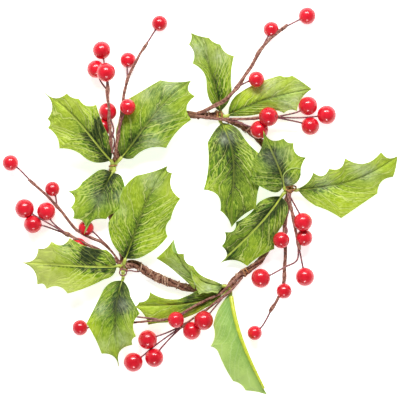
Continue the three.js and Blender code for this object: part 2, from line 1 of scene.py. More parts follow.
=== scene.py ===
from functools import partial
import bpy
import numpy as np
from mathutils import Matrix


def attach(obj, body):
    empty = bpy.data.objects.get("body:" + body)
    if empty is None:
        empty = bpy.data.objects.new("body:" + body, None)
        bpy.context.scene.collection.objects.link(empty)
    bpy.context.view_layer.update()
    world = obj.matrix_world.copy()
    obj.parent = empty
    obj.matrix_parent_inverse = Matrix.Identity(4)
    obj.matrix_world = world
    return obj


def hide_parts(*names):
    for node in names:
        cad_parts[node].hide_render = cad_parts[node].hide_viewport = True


# A holly wreath of artificial picks, lying flat. Sizes are in millimetres here and become metres in the meshes.
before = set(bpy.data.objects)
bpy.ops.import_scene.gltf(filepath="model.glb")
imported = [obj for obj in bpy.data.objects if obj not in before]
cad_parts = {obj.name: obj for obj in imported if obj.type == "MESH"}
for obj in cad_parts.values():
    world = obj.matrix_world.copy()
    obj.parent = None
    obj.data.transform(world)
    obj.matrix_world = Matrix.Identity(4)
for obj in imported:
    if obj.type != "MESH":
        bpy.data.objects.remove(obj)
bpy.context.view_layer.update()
mm = 0.001
print("frame loaded:", len(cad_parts), "nodes")


def linearColour(code):
    # sRGB hex to linear light, with the standard curve
    parts = np.array([int(code[i:i + 2], 16) for i in (1, 3, 5)]) / 255
    return (*np.where(parts <= 0.04045, parts / 12.92, ((parts + 0.055) / 1.055) ** 2.4), 1.0)


def fillInputs(tree, node, inputs):
    # Links or sets a node's inputs, given by name or number; a text is the hex code of a colour
    for key, value in inputs.items():
        if isinstance(value, bpy.types.NodeSocket):
            tree.links.new(value, node.inputs[key])
        else:
            node.inputs[key].default_value = linearColour(value) if isinstance(value, str) else value


def addNode(tree, kind, *inputs, stops=(), out=0, **settings):
    # Adds a shader node, sets it, fills its inputs and gives back one of its outputs. The kind may bring a setting with
    # it. The inputs come in the order of the node's sockets, or as one dictionary by name or number.
    kind, brought = kind if isinstance(kind, tuple) else (kind, {})
    node = tree.nodes.new("ShaderNode" + kind)
    for key, value in (brought | settings).items():
        setattr(node, key, value)
    fillInputs(tree, node, inputs[0] if inputs and isinstance(inputs[0], dict) else dict(enumerate(inputs)))
    if stops:
        ramp = node.color_ramp
        while len(ramp.elements) < len(stops):
            ramp.elements.new(0.5)
        for element, (place, code) in zip(ramp.elements, stops):
            element.position = place
            element.color = linearColour(code)
    return node.outputs[out]


# Kinds of node with a setting, and the three outputs of a node that parts a vector
times, timesPlus, plus, minus, absolute, sine, sign, pingPong = (("Math", {"operation": name}) for name in (
    "MULTIPLY", "MULTIPLY_ADD", "ADD", "SUBTRACT", "ABSOLUTE", "SINE", "SIGN", "PINGPONG"))
easedRange, mix = ("MapRange", {"interpolation_type": "SMOOTHSTEP"}), ("Mix", {"data_type": "RGBA"})
xyz = slice(0, 3)


def newMaterial(name):
    # A material, with a short way to add nodes to it and one to fill the inputs of its shader
    material = bpy.data.materials.new(name)
    material.use_nodes = True
    tree = material.node_tree
    return material, partial(addNode, tree), partial(fillInputs, tree, tree.nodes["Principled BSDF"])


def smoothNoise(x, y, cell, seed, lattice=64):
    # Random heights on a square lattice of that cell size, blended with an eased step; from -1 to 1
    heights = np.random.default_rng(seed).uniform(-1, 1, (lattice, lattice))
    ix, iy = np.floor(x / cell).astype(int), np.floor(y / cell).astype(int)
    fx, fy = x / cell - ix, y / cell - iy
    fx, fy = fx * fx * (3 - 2 * fx), fy * fy * (3 - 2 * fy)
    pick = lambda i, j: heights[i % lattice, j % lattice]
    low = pick(ix, iy) * (1 - fx) + pick(ix + 1, iy) * fx
    high = pick(ix, iy + 1) * (1 - fx) + pick(ix + 1, iy + 1) * fx
    return low * (1 - fy) + high * fy


def sway(place, seed, size, cell):
    # Random change along a line, up to that size
    return size * smoothNoise(place, 0, cell, seed)


def easedStep(low, high, value):
    share = np.clip((value - low) / (high - low), 0, 1)
    return share * share * (3 - 2 * share)


def unit(vectors):
    return vectors / np.maximum(np.linalg.norm(vectors, axis=-1, keepdims=True), 1e-9)


def lengthAlong(path):
    return np.append(0, np.cumsum(np.linalg.norm(np.diff(path, axis=0), axis=1)))


def smoothPath(points, step, samples=40):
    # A centripetal Catmull-Rom curve through the points, resampled at even steps of its length
    p = np.array(points, float)
    p = np.vstack([2 * p[0] - p[1], p, 2 * p[-1] - p[-2]])
    gap = np.sqrt(np.linalg.norm(np.diff(p, axis=0), axis=1))[:, None]
    a, b, c = gap[:-2], gap[1:-1], gap[2:]
    p0, p1, p2, p3 = p[:-3], p[1:-2], p[2:-1], p[3:]
    leave = ((p1 - p0) / a - (p2 - p0) / (a + b) + (p2 - p1) / b) * b
    arrive = ((p2 - p1) / b - (p3 - p1) / (b + c) + (p3 - p2) / c) * b
    t = np.linspace(0, 1, samples, endpoint=False)[:, None, None]
    curve = (2 * t**3 - 3 * t**2 + 1) * p1 + (t**3 - 2 * t**2 + t) * leave
    curve = curve + (3 * t**2 - 2 * t**3) * p2 + (t**3 - t**2) * arrive
    curve = np.vstack([curve.transpose(1, 0, 2).reshape(-1, 3), p[-2]])
    length = lengthAlong(curve)
    even = np.linspace(0, length[-1], max(3, int(length[-1] / step) + 1))
    return np.stack([np.interp(even, length, curve[:, k]) for k in range(3)], axis=1)


def crossAxes(path):
    # At each point of a path, the level direction across it and the direction upwards from it
    along = unit(np.gradient(path, axis=0))
    across = unit(np.cross([0.0, 0.0, 1.0], along))
    return across, np.cross(along, across)


def around(turn, across, up):
    # The direction at that turn from across towards up
    return np.cos(turn)[..., None] * across + np.sin(turn)[..., None] * up


def closedRings(rings, ends):
    # Joins rings of points one to the next, and the outer two to an end point each by a fan
    count, sides = rings.shape[:2]
    side, row = np.arange(sides), np.arange(count - 1)[:, None] * sides
    beside = (side + 1) % sides
    quads = np.stack([row + side, row + beside, row + beside + sides, row + side + sides], -1).reshape(-1, 4)
    first, last = np.full(sides, count * sides), (count - 1) * sides
    fans = np.vstack([np.stack([first, beside, side], -1), np.stack([first + 1, last + side, last + beside], -1)])
    return np.vstack([rings.reshape(-1, 3), *ends]), quads, fans


def tube(path, radius, sides, material=0):
    # Rings round a path, at one radius or at one for each ring or each point, closed at both ends
    across, up = crossAxes(path)
    turn = np.linspace(0, 2 * np.pi, sides, endpoint=False)
    radius = np.asarray(radius, float)
    radius = np.broadcast_to(radius[:, None] if radius.ndim == 1 else radius, (len(path), sides))
    rings = path[:, None] + radius[..., None] * around(turn, across[:, None], up[:, None])
    verts, quads, fans = closedRings(rings, [path[0], path[-1]])
    place = np.stack(np.broadcast_arrays(lengthAlong(path)[:, None], turn, 0), -1).reshape(-1, 3)
    place = np.vstack([place, place[0], place[-1]])
    return {"verts": verts, "faces": [(quads, material), (fans, material)], "place": place}


def makePiece(name, nodes, parts, materials, sharpAngle=0.7):
    # Joins the parts, each {"verts", "faces": [(indices, material)], fields}, into one mesh that stands for the nodes
    starts = np.cumsum([0] + [len(part["verts"]) for part in parts])
    verts = np.concatenate([part["verts"] for part in parts]) * mm
    groups = [(faces + first, number) for first, part in zip(starts, parts) for faces, number in part["faces"]]
    sizes = np.concatenate([np.full(len(faces), faces.shape[1]) for faces, _ in groups])
    mesh = bpy.data.meshes.new(name)
    mesh.vertices.add(len(verts))
    mesh.vertices.foreach_set("co", verts.ravel())
    mesh.loops.add(int(sizes.sum()))
    mesh.loops.foreach_set("vertex_index", np.concatenate([faces.ravel() for faces, _ in groups]))
    mesh.polygons.add(len(sizes))
    mesh.polygons.foreach_set("loop_start", np.append(0, np.cumsum(sizes)[:-1]))
    mesh.polygons.foreach_set("material_index", np.concatenate([np.full(len(f), n) for f, n in groups]))
    mesh.update(calc_edges=True)
    for field in sorted({key for part in parts for key in part} - {"verts", "faces"}):
        values = np.concatenate([part.get(field, np.zeros((len(part["verts"]), 3))) for part in parts])
        mesh.attributes.new(field, "FLOAT_VECTOR", "POINT").data.foreach_set("vector", values.ravel())
    mesh.shade_smooth()
    mesh.set_sharp_from_angle(angle=sharpAngle)
    for material in materials:
        mesh.materials.append(material)
    piece = bpy.data.objects.new(name, mesh)
    bpy.context.scene.collection.objects.link(piece)
    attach(piece, "root")
    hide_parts(*nodes)


# rib: the midrib from base to tip, [x, y, z]. left, right: the spines of a margin, [x, y, dip of the bay before it] and
# for some the height over the midrib, then the dip of the last bay. A dip is a share of the bay's chord. lift: height
# of the first and the last spine over the midrib, left then right. wave: how much spines rise and fall in turn.
# tone: how light the print is. paleRib, ribFoldShade: strength of the light line on the midrib and of the painted shade
# in the fold beside it, which lies on the other side where it is below zero. veins, net: strength of the lateral veins
# and of the net between them. paintedSheen: satin glints painted into the colour as pale highlights, [x, y, radius,
# strength]. dyeAndShadeDabs: tone laid on in spots, [x, y, radius, change of tone]; partly dye, partly painted shade
# where berries and leaves lie over or under the blade and beside a raised midrib. hems: lines of [x, y] where the edge
# curls over the blade.
leaves = {
    "leaf_top_1": dict(rib=[[13.5, 60.5, 6.5], [10, 76, 10], [4.5, 94, 12], [-6, 112, 11]],
        left=[[4.5, 76.5, -0.13], [-5, 91.5, 0.17], [-7.5, 104, 0.18], [0.12]],
        right=[[21, 75.5, -0.12], [22.5, 96.5, 0.05], [13.5, 104, 0.15], [6, 108.5, 0.1], [0.05]], lift=[1, 3, 1, 3],
        wave=1, tone=0.14, paleRib=0.1, ribFoldShade=0.6, veins=1, net=0.8,
        paintedSheen=[[-1.5, 101, 7, 0.8], [13.5, 96, 6, 0.7]], dyeAndShadeDabs=[[15, 80, 7, -0.25]]),
    "leaf_top_2": dict(rib=[[19.5, 57.5, 6], [33.5, 64, 8.5], [50.5, 69.5, 9], [74.5, 74.5, 8]],
        left=[[25.5, 71.5, -0.12], [53.5, 83.5, -0.05], [61.5, 83.5, 0.12], [-0.02]],
        right=[[42, 58.5, -0.03], [56, 58.5, 0.15], [64.5, 60, 0.18], [0.12]], lift=[-1, -1, -0.3, -0.5], wave=0.5,
        tone=0.14, paleRib=0.1, ribFoldShade=0.9, veins=0.8, net=0.6,
        paintedSheen=[[47, 76.5, 7, 0.6], [57, 64, 6, 0.5], [64, 66, 6, 0.5], [66, 76, 6, 0.4]],
        dyeAndShadeDabs=[[39, 61, 5, -0.28], [31, 66, 8, 0.35], [57, 76, 6, 0.25], [56, 65, 5, -0.2], [40, 75, 6, 0.4]]),
    "leaf_top_3": dict(rib=[[14.5, 51.5, 6], [22, 29.5, 8.5], [22, 7.5, 9], [21, -17.5, 8]],
        left=[[26.5, 46.5, -0.1], [39.5, 31.5, 0.05], [41.5, 20, 0.12], [39.5, 10, 0.12], [37.5, -4.5, 0.04], [0.07]],
        right=[[5, 38.5, -0.05], [2.4, 7.5, 0.06], [13.5, -6.5, 0.28], [0.1]], lift=[0.5, 1, 1.5, 2], wave=0.8,
        tone=-0.19, paleRib=0.25, ribFoldShade=0.9, veins=1, net=0.8, paintedSheen=[[16, 41.5, 4, 0.6], [22, 43, 4, 0.3]],
        dyeAndShadeDabs=[[12, 40, 9, -0.15], [28, -9, 5, -0.2], [17, -11, 5, 0.12], [6, 10, 5, 0.12], [17, 50.5, 4, 0.85],
        [11, 30, 6, -0.25]]),
    "leaf_right_1": dict(rib=[[56, 10, 8], [52.5, 22, 13], [47.5, 33.5, 15.5], [42, 46.5, 16.5]],
        left=[[46.5, 6.5, -0.25], [33.5, 14, -0.03], [34, 26.5, 0.15], [0.14]],
        right=[[67, 18, -0.22], [70.5, 29, 0.1], [62, 38.5, 0.26], [55.5, 41.5, 0.17], [0.28]], lift=[1.5, 1, 2, 2],
        wave=0.8, tone=-0.22, paleRib=0.5, ribFoldShade=0.9, veins=0.5, net=0.6,
        paintedSheen=[[46, 28, 7, 0.25], [58, 12.5, 3, 0.8], [56, 32, 6, 0.35]], dyeAndShadeDabs=[[44, 31, 7, -0.3], [59, 34, 9, 0.2],
        [62, 23, 6, 0.25], [38.5, 15.5, 4, -0.3], [48.5, 40, 5, 0.4], [53, 13, 4, 0.28]],
        hems=[[[56, 12.5], [55.5, 17], [58.5, 20.5], [63, 22], [67, 21.3]]]),
    "leaf_right_2": dict(rib=[[66, 7.5, 6], [86.5, 10, 9], [108, 16, 9.5], [131.5, 30, 7]],
        left=[[75.5, 19, 0.12], [86, 21.5, 0.33], [96.5, 28.5, 0.3], [120.5, 32.5, 0.23], [0.24]],
        right=[[77.5, -3.5, -0.06], [94, -11.5, 0.04], [118, 5, 0], [128.5, 16, 0.22], [-0.05]],
        lift=[1.5, 2, 1.5, 2], wave=1, tone=0.15, paleRib=0.2, ribFoldShade=0.7, veins=1, net=0.9,
        paintedSheen=[[113, 19, 6, 0.6], [83, 13, 6, 0.5], [105, 22, 6, 0.5]],
        dyeAndShadeDabs=[[92, -5, 9, 0.22], [115, 26, 9, 0.22], [71, 12, 4, 0.25], [78, 6.5, 5, -0.2], [90, 18, 6, 0.15]]),
    "leaf_right_3": dict(rib=[[54, 2.5, 6.3], [42.5, -12.5, 6.6], [30, -25.5, 6], [13.5, -41.5, 4]],
        left=[[57.5, -10, -0.2], [54.5, -17, -0.03], [49.5, -32, 0.1], [31.5, -43.5, 0.05], [0.17]],
        right=[[38.5, -1.5, -0.1], [24, -14, 0.1], [16.5, -20.5, 0.33], [14.5, -30, 0.16], [0.35]],
        lift=[0.8, 1, 0.2, 0.5], wave=0.4, tone=-0.21, paleRib=0.9, ribFoldShade=0.9, veins=0.9, net=0.7,
        dyeAndShadeDabs=[[44, 0.5, 4, 0.3], [46, -8, 4, -0.1], [49, -22, 5, -0.25], [35, -25, 7, 0.25], [19, -37, 6, -0.35],
        [48, -28, 5, -0.25], [48, -14, 4, 0.15], [27, -17, 5, -0.2], [30, -41, 5, 0.2]]),
    "leaf_bottom_1": dict(rib=[[14.6, -56.6, 8], [0, -52.7, 9.8], [-11, -43.5, 12.5], [-17.5, -25.5, 14]],
        left=[[11.5, -61.6, 0, 2.2], [4.7, -61.3, 0.12, 1], [-0.5, -62.3, 0.12, 1], [-6, -46.5, -0.03, 3.5],
        [-3.5, -58.5, 0, -2.5], [-16.7, -46.7, 0, -1.5], [-29, -38, 0.03, 0], [0.05]],
        right=[[5.3, -51.6, -0.02], [-4.5, -43.2, 0.1], [-10.7, -35, 0.22], [0.42]], lift=[1, 0, 2.5, 1], wave=0.6,
        tone=-0.02, paleRib=0, ribFoldShade=0.15, veins=0.6, net=0.6,
        paintedSheen=[[-12, -46, 6, 0.4], [-18, -40, 5, 0.3], [5, -59, 6, 0.9]], dyeAndShadeDabs=[[-18, -30, 5, 0.2],
        [-13, -35, 4, 0.25], [8, -58.5, 5, 0.3], [0, -59, 5, 0.35], [3, -52.6, 3.2, 0.9], [9, -54, 3, 1.1],
        [-2.5, -51.6, 2.5, 0.9], [-5, -45, 4, 0.4], [-12, -42, 6, 0.3]], hems=[[[-5.5, -46.5], [-5.2, -50.5],
        [-3, -55], [-0.8, -57.5]], [[11.3, -61.2], [8.1, -60.4], [4.7, -61], [2.2, -60.6], [-0.4, -62]]]),
    "leaf_bottom_2": dict(rib=[[14, -62, 5.8], [-2, -67.5, 6.3], [-21.5, -69.5, 6.5], [-43.5, -70.5, 5]],
        left=[[3.5, -71.3, -0.06], [-21.5, -81, -0.05], [-34.5, -82.5, 0.03], [0.12]],
        right=[[-2.5, -60, -0.1], [-14.5, -65.5, 0.03], [-33.5, -60.5, 0.1], [-40.5, -67.5, 0.25], [0.1]],
        lift=[0, 0, 0.5, 0.8], wave=0.3, tone=0.2, paleRib=0.8, ribFoldShade=0.4, veins=0.8, net=0.7,
        dyeAndShadeDabs=[[-7, -63.5, 6, -0.7], [-21, -67, 6, 0.3], [6, -63, 6, -0.1]]),
    "leaf_bottom_3": dict(rib=[[20.5, -62, 7], [26, -87.5, 15], [34.7, -109, 14], [44.5, -129, 8]],
        left=[[20.5, -70, 0.02, -5], [24, -89.5, 0, -10], [31.5, -107.5, 0, -9], [0.04]], right=[[8.9, -83, -0.08],
        [7, -96.7, 0.14], [11.8, -100, 0.1], [22, -120, -0.02], [30.4, -126.2, 0.12], [0.04]], lift=[-9, -9, -3, -4],
        wave=0.8, showsUnderside=True, tone=0, paleRib=0, ribFoldShade=0, veins=0.4, net=0.2,
        dyeAndShadeDabs=[[17, -78, 10, -0.2], [10, -99, 6, 0.3], [28, -121, 10, 0.3], [41, -124, 8, 1.6]]),
    "leaf_left_1": dict(rib=[[-49.5, -38, 7.3], [-41.5, -15.5, 9.5], [-33.5, 4, 11], [-21.5, 23.5, 10]],
        left=[[-61, -14.5, -0.12], [-53.5, -5, -0.05], [-42, 17, -0.15], [0.04]], right=[[-35.5, -35.5, -0.1],
        [-21.5, -23.5, -0.06], [-19.5, -12, 0.19], [-13, 1.5, 0.06], [-18.5, 18.5, 0.2], [0.4]],
        lift=[1.5, 2, 1.5, 2], wave=0.8, tone=0.04, paleRib=0.2, ribFoldShade=0.9, veins=0.9, net=0.7,
        paintedSheen=[[-32, 14, 7, 0.6], [-52, -6, 5, 0.3]], dyeAndShadeDabs=[[-42, -3, 7, 0.22], [-20, 9, 8, 0.28],
        [-56, -14, 8, -0.22], [-47, -35, 5, -0.35], [-28, 12, 4, -0.15], [-34, -30, 6, 0.15]]),
    "leaf_left_2": dict(rib=[[-56, -43.5, 6.5], [-76, -43.5, 13.2], [-97.5, -42, 14.5], [-118, -41, 10]],
        left=[[-63.5, -52, -0.18], [-88, -61.5, -0.03], [-102, -58.5, 0.23], [-108, -55.5, 0.3], [0.19]],
        right=[[-62.5, -32.5, -0.12], [-86.5, -24.5, 0.08], [-98.5, -27, 0.3], [-107.5, -31.5, 0.2], [0.25]],
        lift=[0, -2, 1, 1], wave=0.6, tone=0.4, paleRib=1, ribFoldShade=-0.9, veins=1, net=1, paintedSheen=[[-90, -33, 6, 0.2]],
        dyeAndShadeDabs=[[-109, -44, 14, 0.8], [-88, -56, 8, 0.3], [-73, -34.5, 6, -1.3], [-77, -35, 10, -0.6],
        [-59, -37.5, 4.5, -0.4], [-66, -32.5, 4, -0.4], [-90, -29, 7, -0.6], [-67, -54, 5, -0.3],
        [-58, -47, 3.5, -0.3], [-64, -46.5, 2.5, -0.6], [-70, -46.5, 2.5, -0.6], [-77, -46.3, 2.2, -0.4]]),
    "leaf_left_3": dict(rib=[[-52, -53.5, 6.5], [-55.5, -68, 11.5], [-56.5, -86, 12.5], [-54, -110.5, 8]],
        left=[[-46.5, -63.5, -0.1], [-40.2, -75, 0], [-42.5, -90, 0.21], [-45, -95.5, 0.25], [0.28]],
        right=[[-64.5, -59.5, -0.15], [-75.5, -81.5, 0], [-65.5, -101.5, 0.03], [0.23]], lift=[0, 0, -0.5, -1.5],
        wave=0.8, tone=-0.11, paleRib=0.1, ribFoldShade=0.7, veins=0.6, net=0.5,
        paintedSheen=[[-66, -72, 5, 0.5], [-50, -70, 5, 0.4], [-52, -92, 6, 0.6], [-64, -96, 5, 0.4]],
        dyeAndShadeDabs=[[-60, -100, 12, 0.45], [-74, -82, 7, 0.35], [-46, -90, 9, 0.3], [-52, -69, 7, -0.4],
        [-66, -71, 5, -0.2], [-60, -60, 5, 0.15]]),
    "leaf_upper_1": dict(rib=[[-60, 27.5, 7], [-72, 42, 13], [-85.5, 57.5, 13.5], [-103.5, 72, 10]],
        left=[[-77.5, 29.5, -0.15], [-93.5, 35, 0.11], [-101, 48.5, 0.15], [-101.5, 54.5, 0.28], [0.24]],
        right=[[-60, 42, -0.08], [-69, 64, 0.03], [-80.5, 68, 0.23], [-88.5, 71.5, 0.12], [0.23]], lift=[1, 0, 1, 1],
        wave=0.8, tone=0.12, paleRib=0.7, ribFoldShade=0.9, veins=1, net=1, dyeAndShadeDabs=[[-67.5, 50, 6, -0.7],
        [-73.5, 49, 3.5, 0.4], [-69, 46, 10, -0.4], [-70, 37, 10, -0.15], [-62, 27, 7, -0.5], [-86, 63, 9, 0.35],
        [-94, 38, 7, 0.25]]),
    "leaf_upper_2": dict(rib=[[-52, 29.5, 6.5], [-39.5, 46, 9], [-25.5, 63.5, 10], [-6, 80, 9]],
        left=[[-55.5, 48.5, -0.08], [-53.5, 64.5, 0.06], [-26.5, 80.5, 0], [0.05]],
        right=[[-44.5, 28.5, -0.1], [-22.5, 35.5, 0.14], [-6, 54, 0.07], [-3.5, 69.5, 0.27], [0.3]],
        lift=[-1, -2, 1.5, 2], wave=0.8, tone=-0.05, paleRib=0.3, ribFoldShade=0.9, veins=0.8, net=0.6,
        paintedSheen=[[-36, 72, 6, 0.5], [-20, 77, 7, 0.6], [-26, 57, 7, 0.4], [-31, 39, 6, 0.6]], dyeAndShadeDabs=[[-31, 75, 7, -0.2],
        [-24, 53, 7, -0.2], [-38, 60, 5, 0.25], [-9, 71, 7, 0.2], [-42, 41, 6, -0.2], [-29, 48, 4, 0.2]]),
    "leaf_upper_3": dict(rib=[[-58.5, 18.5, 6], [-64.5, 7.5, 6.5], [-70.5, -6.5, 8], [-77, -22, 12]],
        left=[[-52.5, 16.5, -0.15], [-50.5, 0.5, -0.08], [-54.5, -8.5, 0.05], [-62.5, -12, 0.2], [0.24]],
        right=[[-68.5, 20, -0.16], [-78.5, 12.5, 0], [-87.5, 6.5, 0.15], [-86, -4.5, 0.3], [-84.5, -11.5, 0.2],
        [0.35]], lift=[0, 0, 0.5, 1], wave=0.5, tone=-0.12, paleRib=0.1, ribFoldShade=0.9, veins=0.6, net=0.6,
        paintedSheen=[[-68, 1, 6, 0.3], [-53, 3, 4, 0.5]],
        dyeAndShadeDabs=[[-79, -3, 8, 0.25], [-66, -10, 6, 0.2], [-56, 5, 6, -0.2], [-60, 19, 6, -0.2]]),
}
cloth = {"thickness": 0.5, "rows": 170, "columns": 36, "crowding": 1.25, "crownShare": 0.07, "stalkHalfWidth": 1.0,
         "grooveDepth": 0.6, "grooveWidth": 0.8, "grooveFade": 4, "quilt": 0.45, "quiltPower": 0.8, "quiltSink": 0.6,
         "quiltFade": [3, 2.5], "ripple": 0.35, "rippleCell": 11, "rippleFade": 8, "crinkle": 0.2, "crinkleCell": 3.2}
veinSizes = {"lead": 0.36, "bend": 1.1, "perSpine": 2, "slant": 0.8, "fork": 0.28, "forkFrom": 0.45}
dyed = {"base": 0.36, "toTip": 0.22, "toMargin": 0.25, "atRib": -0.32, "ribWidth": 4, "cloud": 0.14, "cloudCell": 8}
bead = {"radius": 0.55, "taper": [1, 0.25], "backTaper": [2.7, 1.4], "below": 0.25, "raised": 0.3, "ends": [4, 12]}
hem = {"radius": 0.4, "step": 0.4, "nearest": 12, "lift": 0.2, "smoothing": 7, "endTurn": 0.25}


def ribPoints(rib, u):
    # The cubic curve that passes four points at 0, 1/3, 2/3 and 1
    start, near, far, tip = np.array(rib, float)
    first = (-5 * start + 18 * near - 9 * far + 2 * tip) / 6
    second = (-5 * tip + 18 * far - 9 * near + 2 * start) / 6
    u = np.asarray(u, float)[..., None]
    return (1 - u)**3 * start + 3 * (1 - u)**2 * u * first + 3 * (1 - u) * u**2 * second + u**3 * tip


def marginPoints(leaf, side, rows):
    # The margin as rows + 1 points. Between two spines it is a parabola that dips by the bay's share of the chord.
    outward, lift = (1, leaf["lift"][:2]) if side == "left" else (-1, leaf["lift"][2:])
    spines = leaf[side][:-1]
    dips = np.array([spine[2] for spine in spines] + leaf[side][-1])
    start, near = ribPoints(leaf["rib"], [0, 1e-3])
    across = unit(np.array([start[1] - near[1], near[0] - start[0], 0]))
    stalk = start + across * outward * cloth["stalkHalfWidth"]
    corners = np.array([stalk] + [[*spine[:2], 0] for spine in spines] + [leaf["rib"][3]], float)
    share = lengthAlong(corners[:, :2])
    share = share / share[-1]
    own = [spine[3] if len(spine) > 3 else lift[0] + (lift[1] - lift[0]) * share[i + 1] + leaf["wave"] * (-1)**i
           for i, spine in enumerate(spines)]
    corners[1:-1, 2] = ribPoints(leaf["rib"], share[1:-1])[:, 2] + own
    at, row = np.round(share * rows), np.arange(rows + 1)
    bay = np.clip(np.searchsorted(at, row, side="right") - 1, 0, len(dips) - 1)
    t = ((row - at[bay]) / (at[bay + 1] - at[bay]))[:, None]
    a, b = corners[bay], corners[bay + 1]
    pressed = np.stack([b[:, 1] - a[:, 1], a[:, 0] - b[:, 0], 0 * a[:, 0]], -1)
    middle = (a + b) / 2 + pressed * 2 * outward * dips[bay][:, None]
    return (1 - t)**2 * a + 2 * (1 - t) * t * middle + t**2 * b, share


def bladeParts(leaf, seed, turnedOver):
    # Rows from margin over midrib to margin, crowned between them, with a fold at the midrib, a quilt between the
    # lateral veins and a slow ripple, all pushed out along the sheet's normals; then a wall of even thickness.
    rows, half = cloth["rows"], cloth["columns"] // 2
    lead, perSpine = veinSizes["lead"], veinSizes["perSpine"]
    u, v = np.arange(rows + 1) / rows, np.linspace(-1, 1, 2 * half + 1)
    v = np.sign(v) * np.abs(v)**cloth["crowding"]
    out, rib = np.abs(v), ribPoints(leaf["rib"], u)
    sides = []
    for side in ("left", "right"):
        margin, share = marginPoints(leaf, side, rows)
        knots = np.append(share[:-1] - lead, 1.0)
        back = u[:, None] - lead * out**veinSizes["bend"]
        phase = np.interp(back, knots, np.arange(len(knots)) * perSpine)
        step = np.interp(back, (knots[:-1] + knots[1:]) / 2, np.diff(knots) / perSpine)
        sides.append((margin[:, None], phase[..., None], step[..., None]))
    margin, phase, step = (np.where((v < 0)[:, None], left, right) for left, right in zip(*sides))
    phase, spacing = phase[..., 0], step[..., 0] * lengthAlong(rib)[-1] * veinSizes["slant"]
    width = np.linalg.norm(margin - rib[:, None], axis=2)
    sheet = rib[:, None] + (margin - rib[:, None]) * out[:, None]
    sheet[..., 2] += cloth["crownShare"] * width * 4 * out * (1 - out)
    fromRib, toEdge = width * out, width * (1 - out)
    normal = unit(np.cross(np.gradient(sheet, axis=1), np.gradient(sheet, axis=0)))
    normal[-1] = normal[-2]
    x, y = sheet[..., 0], sheet[..., 1]
    body = easedStep(0, cloth["quiltFade"][0], fromRib) * easedStep(0, cloth["quiltFade"][1], toEdge)
    groove = np.exp(-(fromRib / cloth["grooveWidth"])**2) * easedStep(0, cloth["grooveFade"], width)
    ripple = smoothNoise(x, y, cloth["rippleCell"], seed) * easedStep(0, cloth["rippleFade"], fromRib)
    crinkle = smoothNoise(x, y, cloth["crinkleCell"], seed + 1) * body
    puff = np.abs(np.sin(np.pi * phase))**cloth["quiltPower"] - cloth["quiltSink"]
    relief = cloth["quilt"] * puff * body - cloth["grooveDepth"] * groove
    relief += cloth["ripple"] * ripple + cloth["crinkle"] * crinkle
    upper = sheet + normal * (relief + cloth["thickness"] / 2)[..., None]
    lower = sheet + normal * (relief - cloth["thickness"] / 2)[..., None]
    columns = 2 * half + 1
    tip = rows * columns
    index, count = np.arange(tip).reshape(rows, columns), tip + 1
    quads = np.stack([index[:-1, :-1], index[:-1, 1:], index[1:, 1:], index[1:, :-1]], -1).reshape(-1, 4)
    fan = np.stack([index[-1, :-1], index[-1, 1:], np.full(columns - 1, tip)], -1)
    outline = np.concatenate([index[0], index[1:, -1], [tip], index[1:, 0][::-1]])
    following = np.roll(outline, -1)
    walls = np.stack([outline, outline + count, following + count, following], -1)
    front, back = (1, 0) if turnedOver else (0, 1)
    faces = [(quads, front), (fan, front), (quads[:, ::-1] + count, back), (fan[:, ::-1] + count, back), (walls, front)]
    along = u[:, None] + 0 * x
    patch = lambda spots: sum((s * np.exp(-((x - a)**2 + (y - b)**2) / r**2) for a, b, r, s in spots), 0 * x)
    # Tone of the print, lighter towards tip and margin and darker near the midrib's base, with dabs that are partly dye
    # and partly painted shade, and random clouds
    tone = dyed["base"] + leaf["tone"] + dyed["toTip"] * along
    tone = tone + dyed["toMargin"] * easedStep(0, width.max(), fromRib)
    tone = tone + dyed["atRib"] * np.exp(-(fromRib / dyed["ribWidth"])**2) * (1 - along) + patch(leaf["dyeAndShadeDabs"])
    tone = tone + dyed["cloud"] * smoothNoise(x, y, dyed["cloudCell"], seed + 2)
    fork = veinSizes["fork"] * np.maximum(out - veinSizes["forkFrom"], 0) / (1 - veinSizes["forkFrom"])
    blade = {"verts": [upper, lower], "faces": faces}
    # Fields for the shaders; the second value of the tone field is the mask of painted sheen, pale highlights put into
    # the colour
    for name, grids in {"veinPlace": (phase, fromRib * np.sign(v), toEdge), "veinScale": (spacing, fork, leaf["veins"]),
                        "tones": (tone, patch(leaf.get("paintedSheen", [])), leaf["net"]),
                        "ribTones": (leaf["paleRib"], leaf["ribFoldShade"], along)}.items():
        blade[name] = [np.stack([grid + 0 * x for grid in grids], -1)] * 2
    for name in set(blade) - {"faces"}:
        # The last row of each side is one point, the tip
        blade[name] = np.vstack([part for grid in blade[name] for part in (grid[:-1].reshape(-1, 3), grid[-1, half])])
    kept = slice(bead["ends"][0], -bead["ends"][1])
    drop = (-1 if turnedOver else 1) * (cloth["thickness"] / 2 + bead["below"]) + bead["raised"]
    thin = bead["radius"] * np.interp(u[kept], [0, 1], bead["backTaper" if turnedOver else "taper"])
    return [blade, tube(rib[kept] - normal[kept, half] * drop, thin, 10, 2)]


def hemTube(line, blade):
    # A thin roll of cloth that follows the blade's upper face along the line
    line = smoothPath([[*point, 0] for point in line], hem["step"])
    face = blade["verts"][:len(blade["verts"]) // 2]
    apart = np.linalg.norm(line[:, None, :2] - face[None, :, :2], axis=2)
    nearest, window = np.argsort(apart, axis=1)[:, :hem["nearest"]], hem["smoothing"]
    height = np.pad(face[nearest, 2].max(axis=1) + hem["lift"], window // 2, mode="edge")
    line[:, 2] = np.convolve(height, np.ones(window) / window, "valid")
    ends = np.sin(np.linspace(hem["endTurn"], np.pi - hem["endTurn"], len(line)))**0.5
    return tube(line, hem["radius"] * ends, 8, 1)


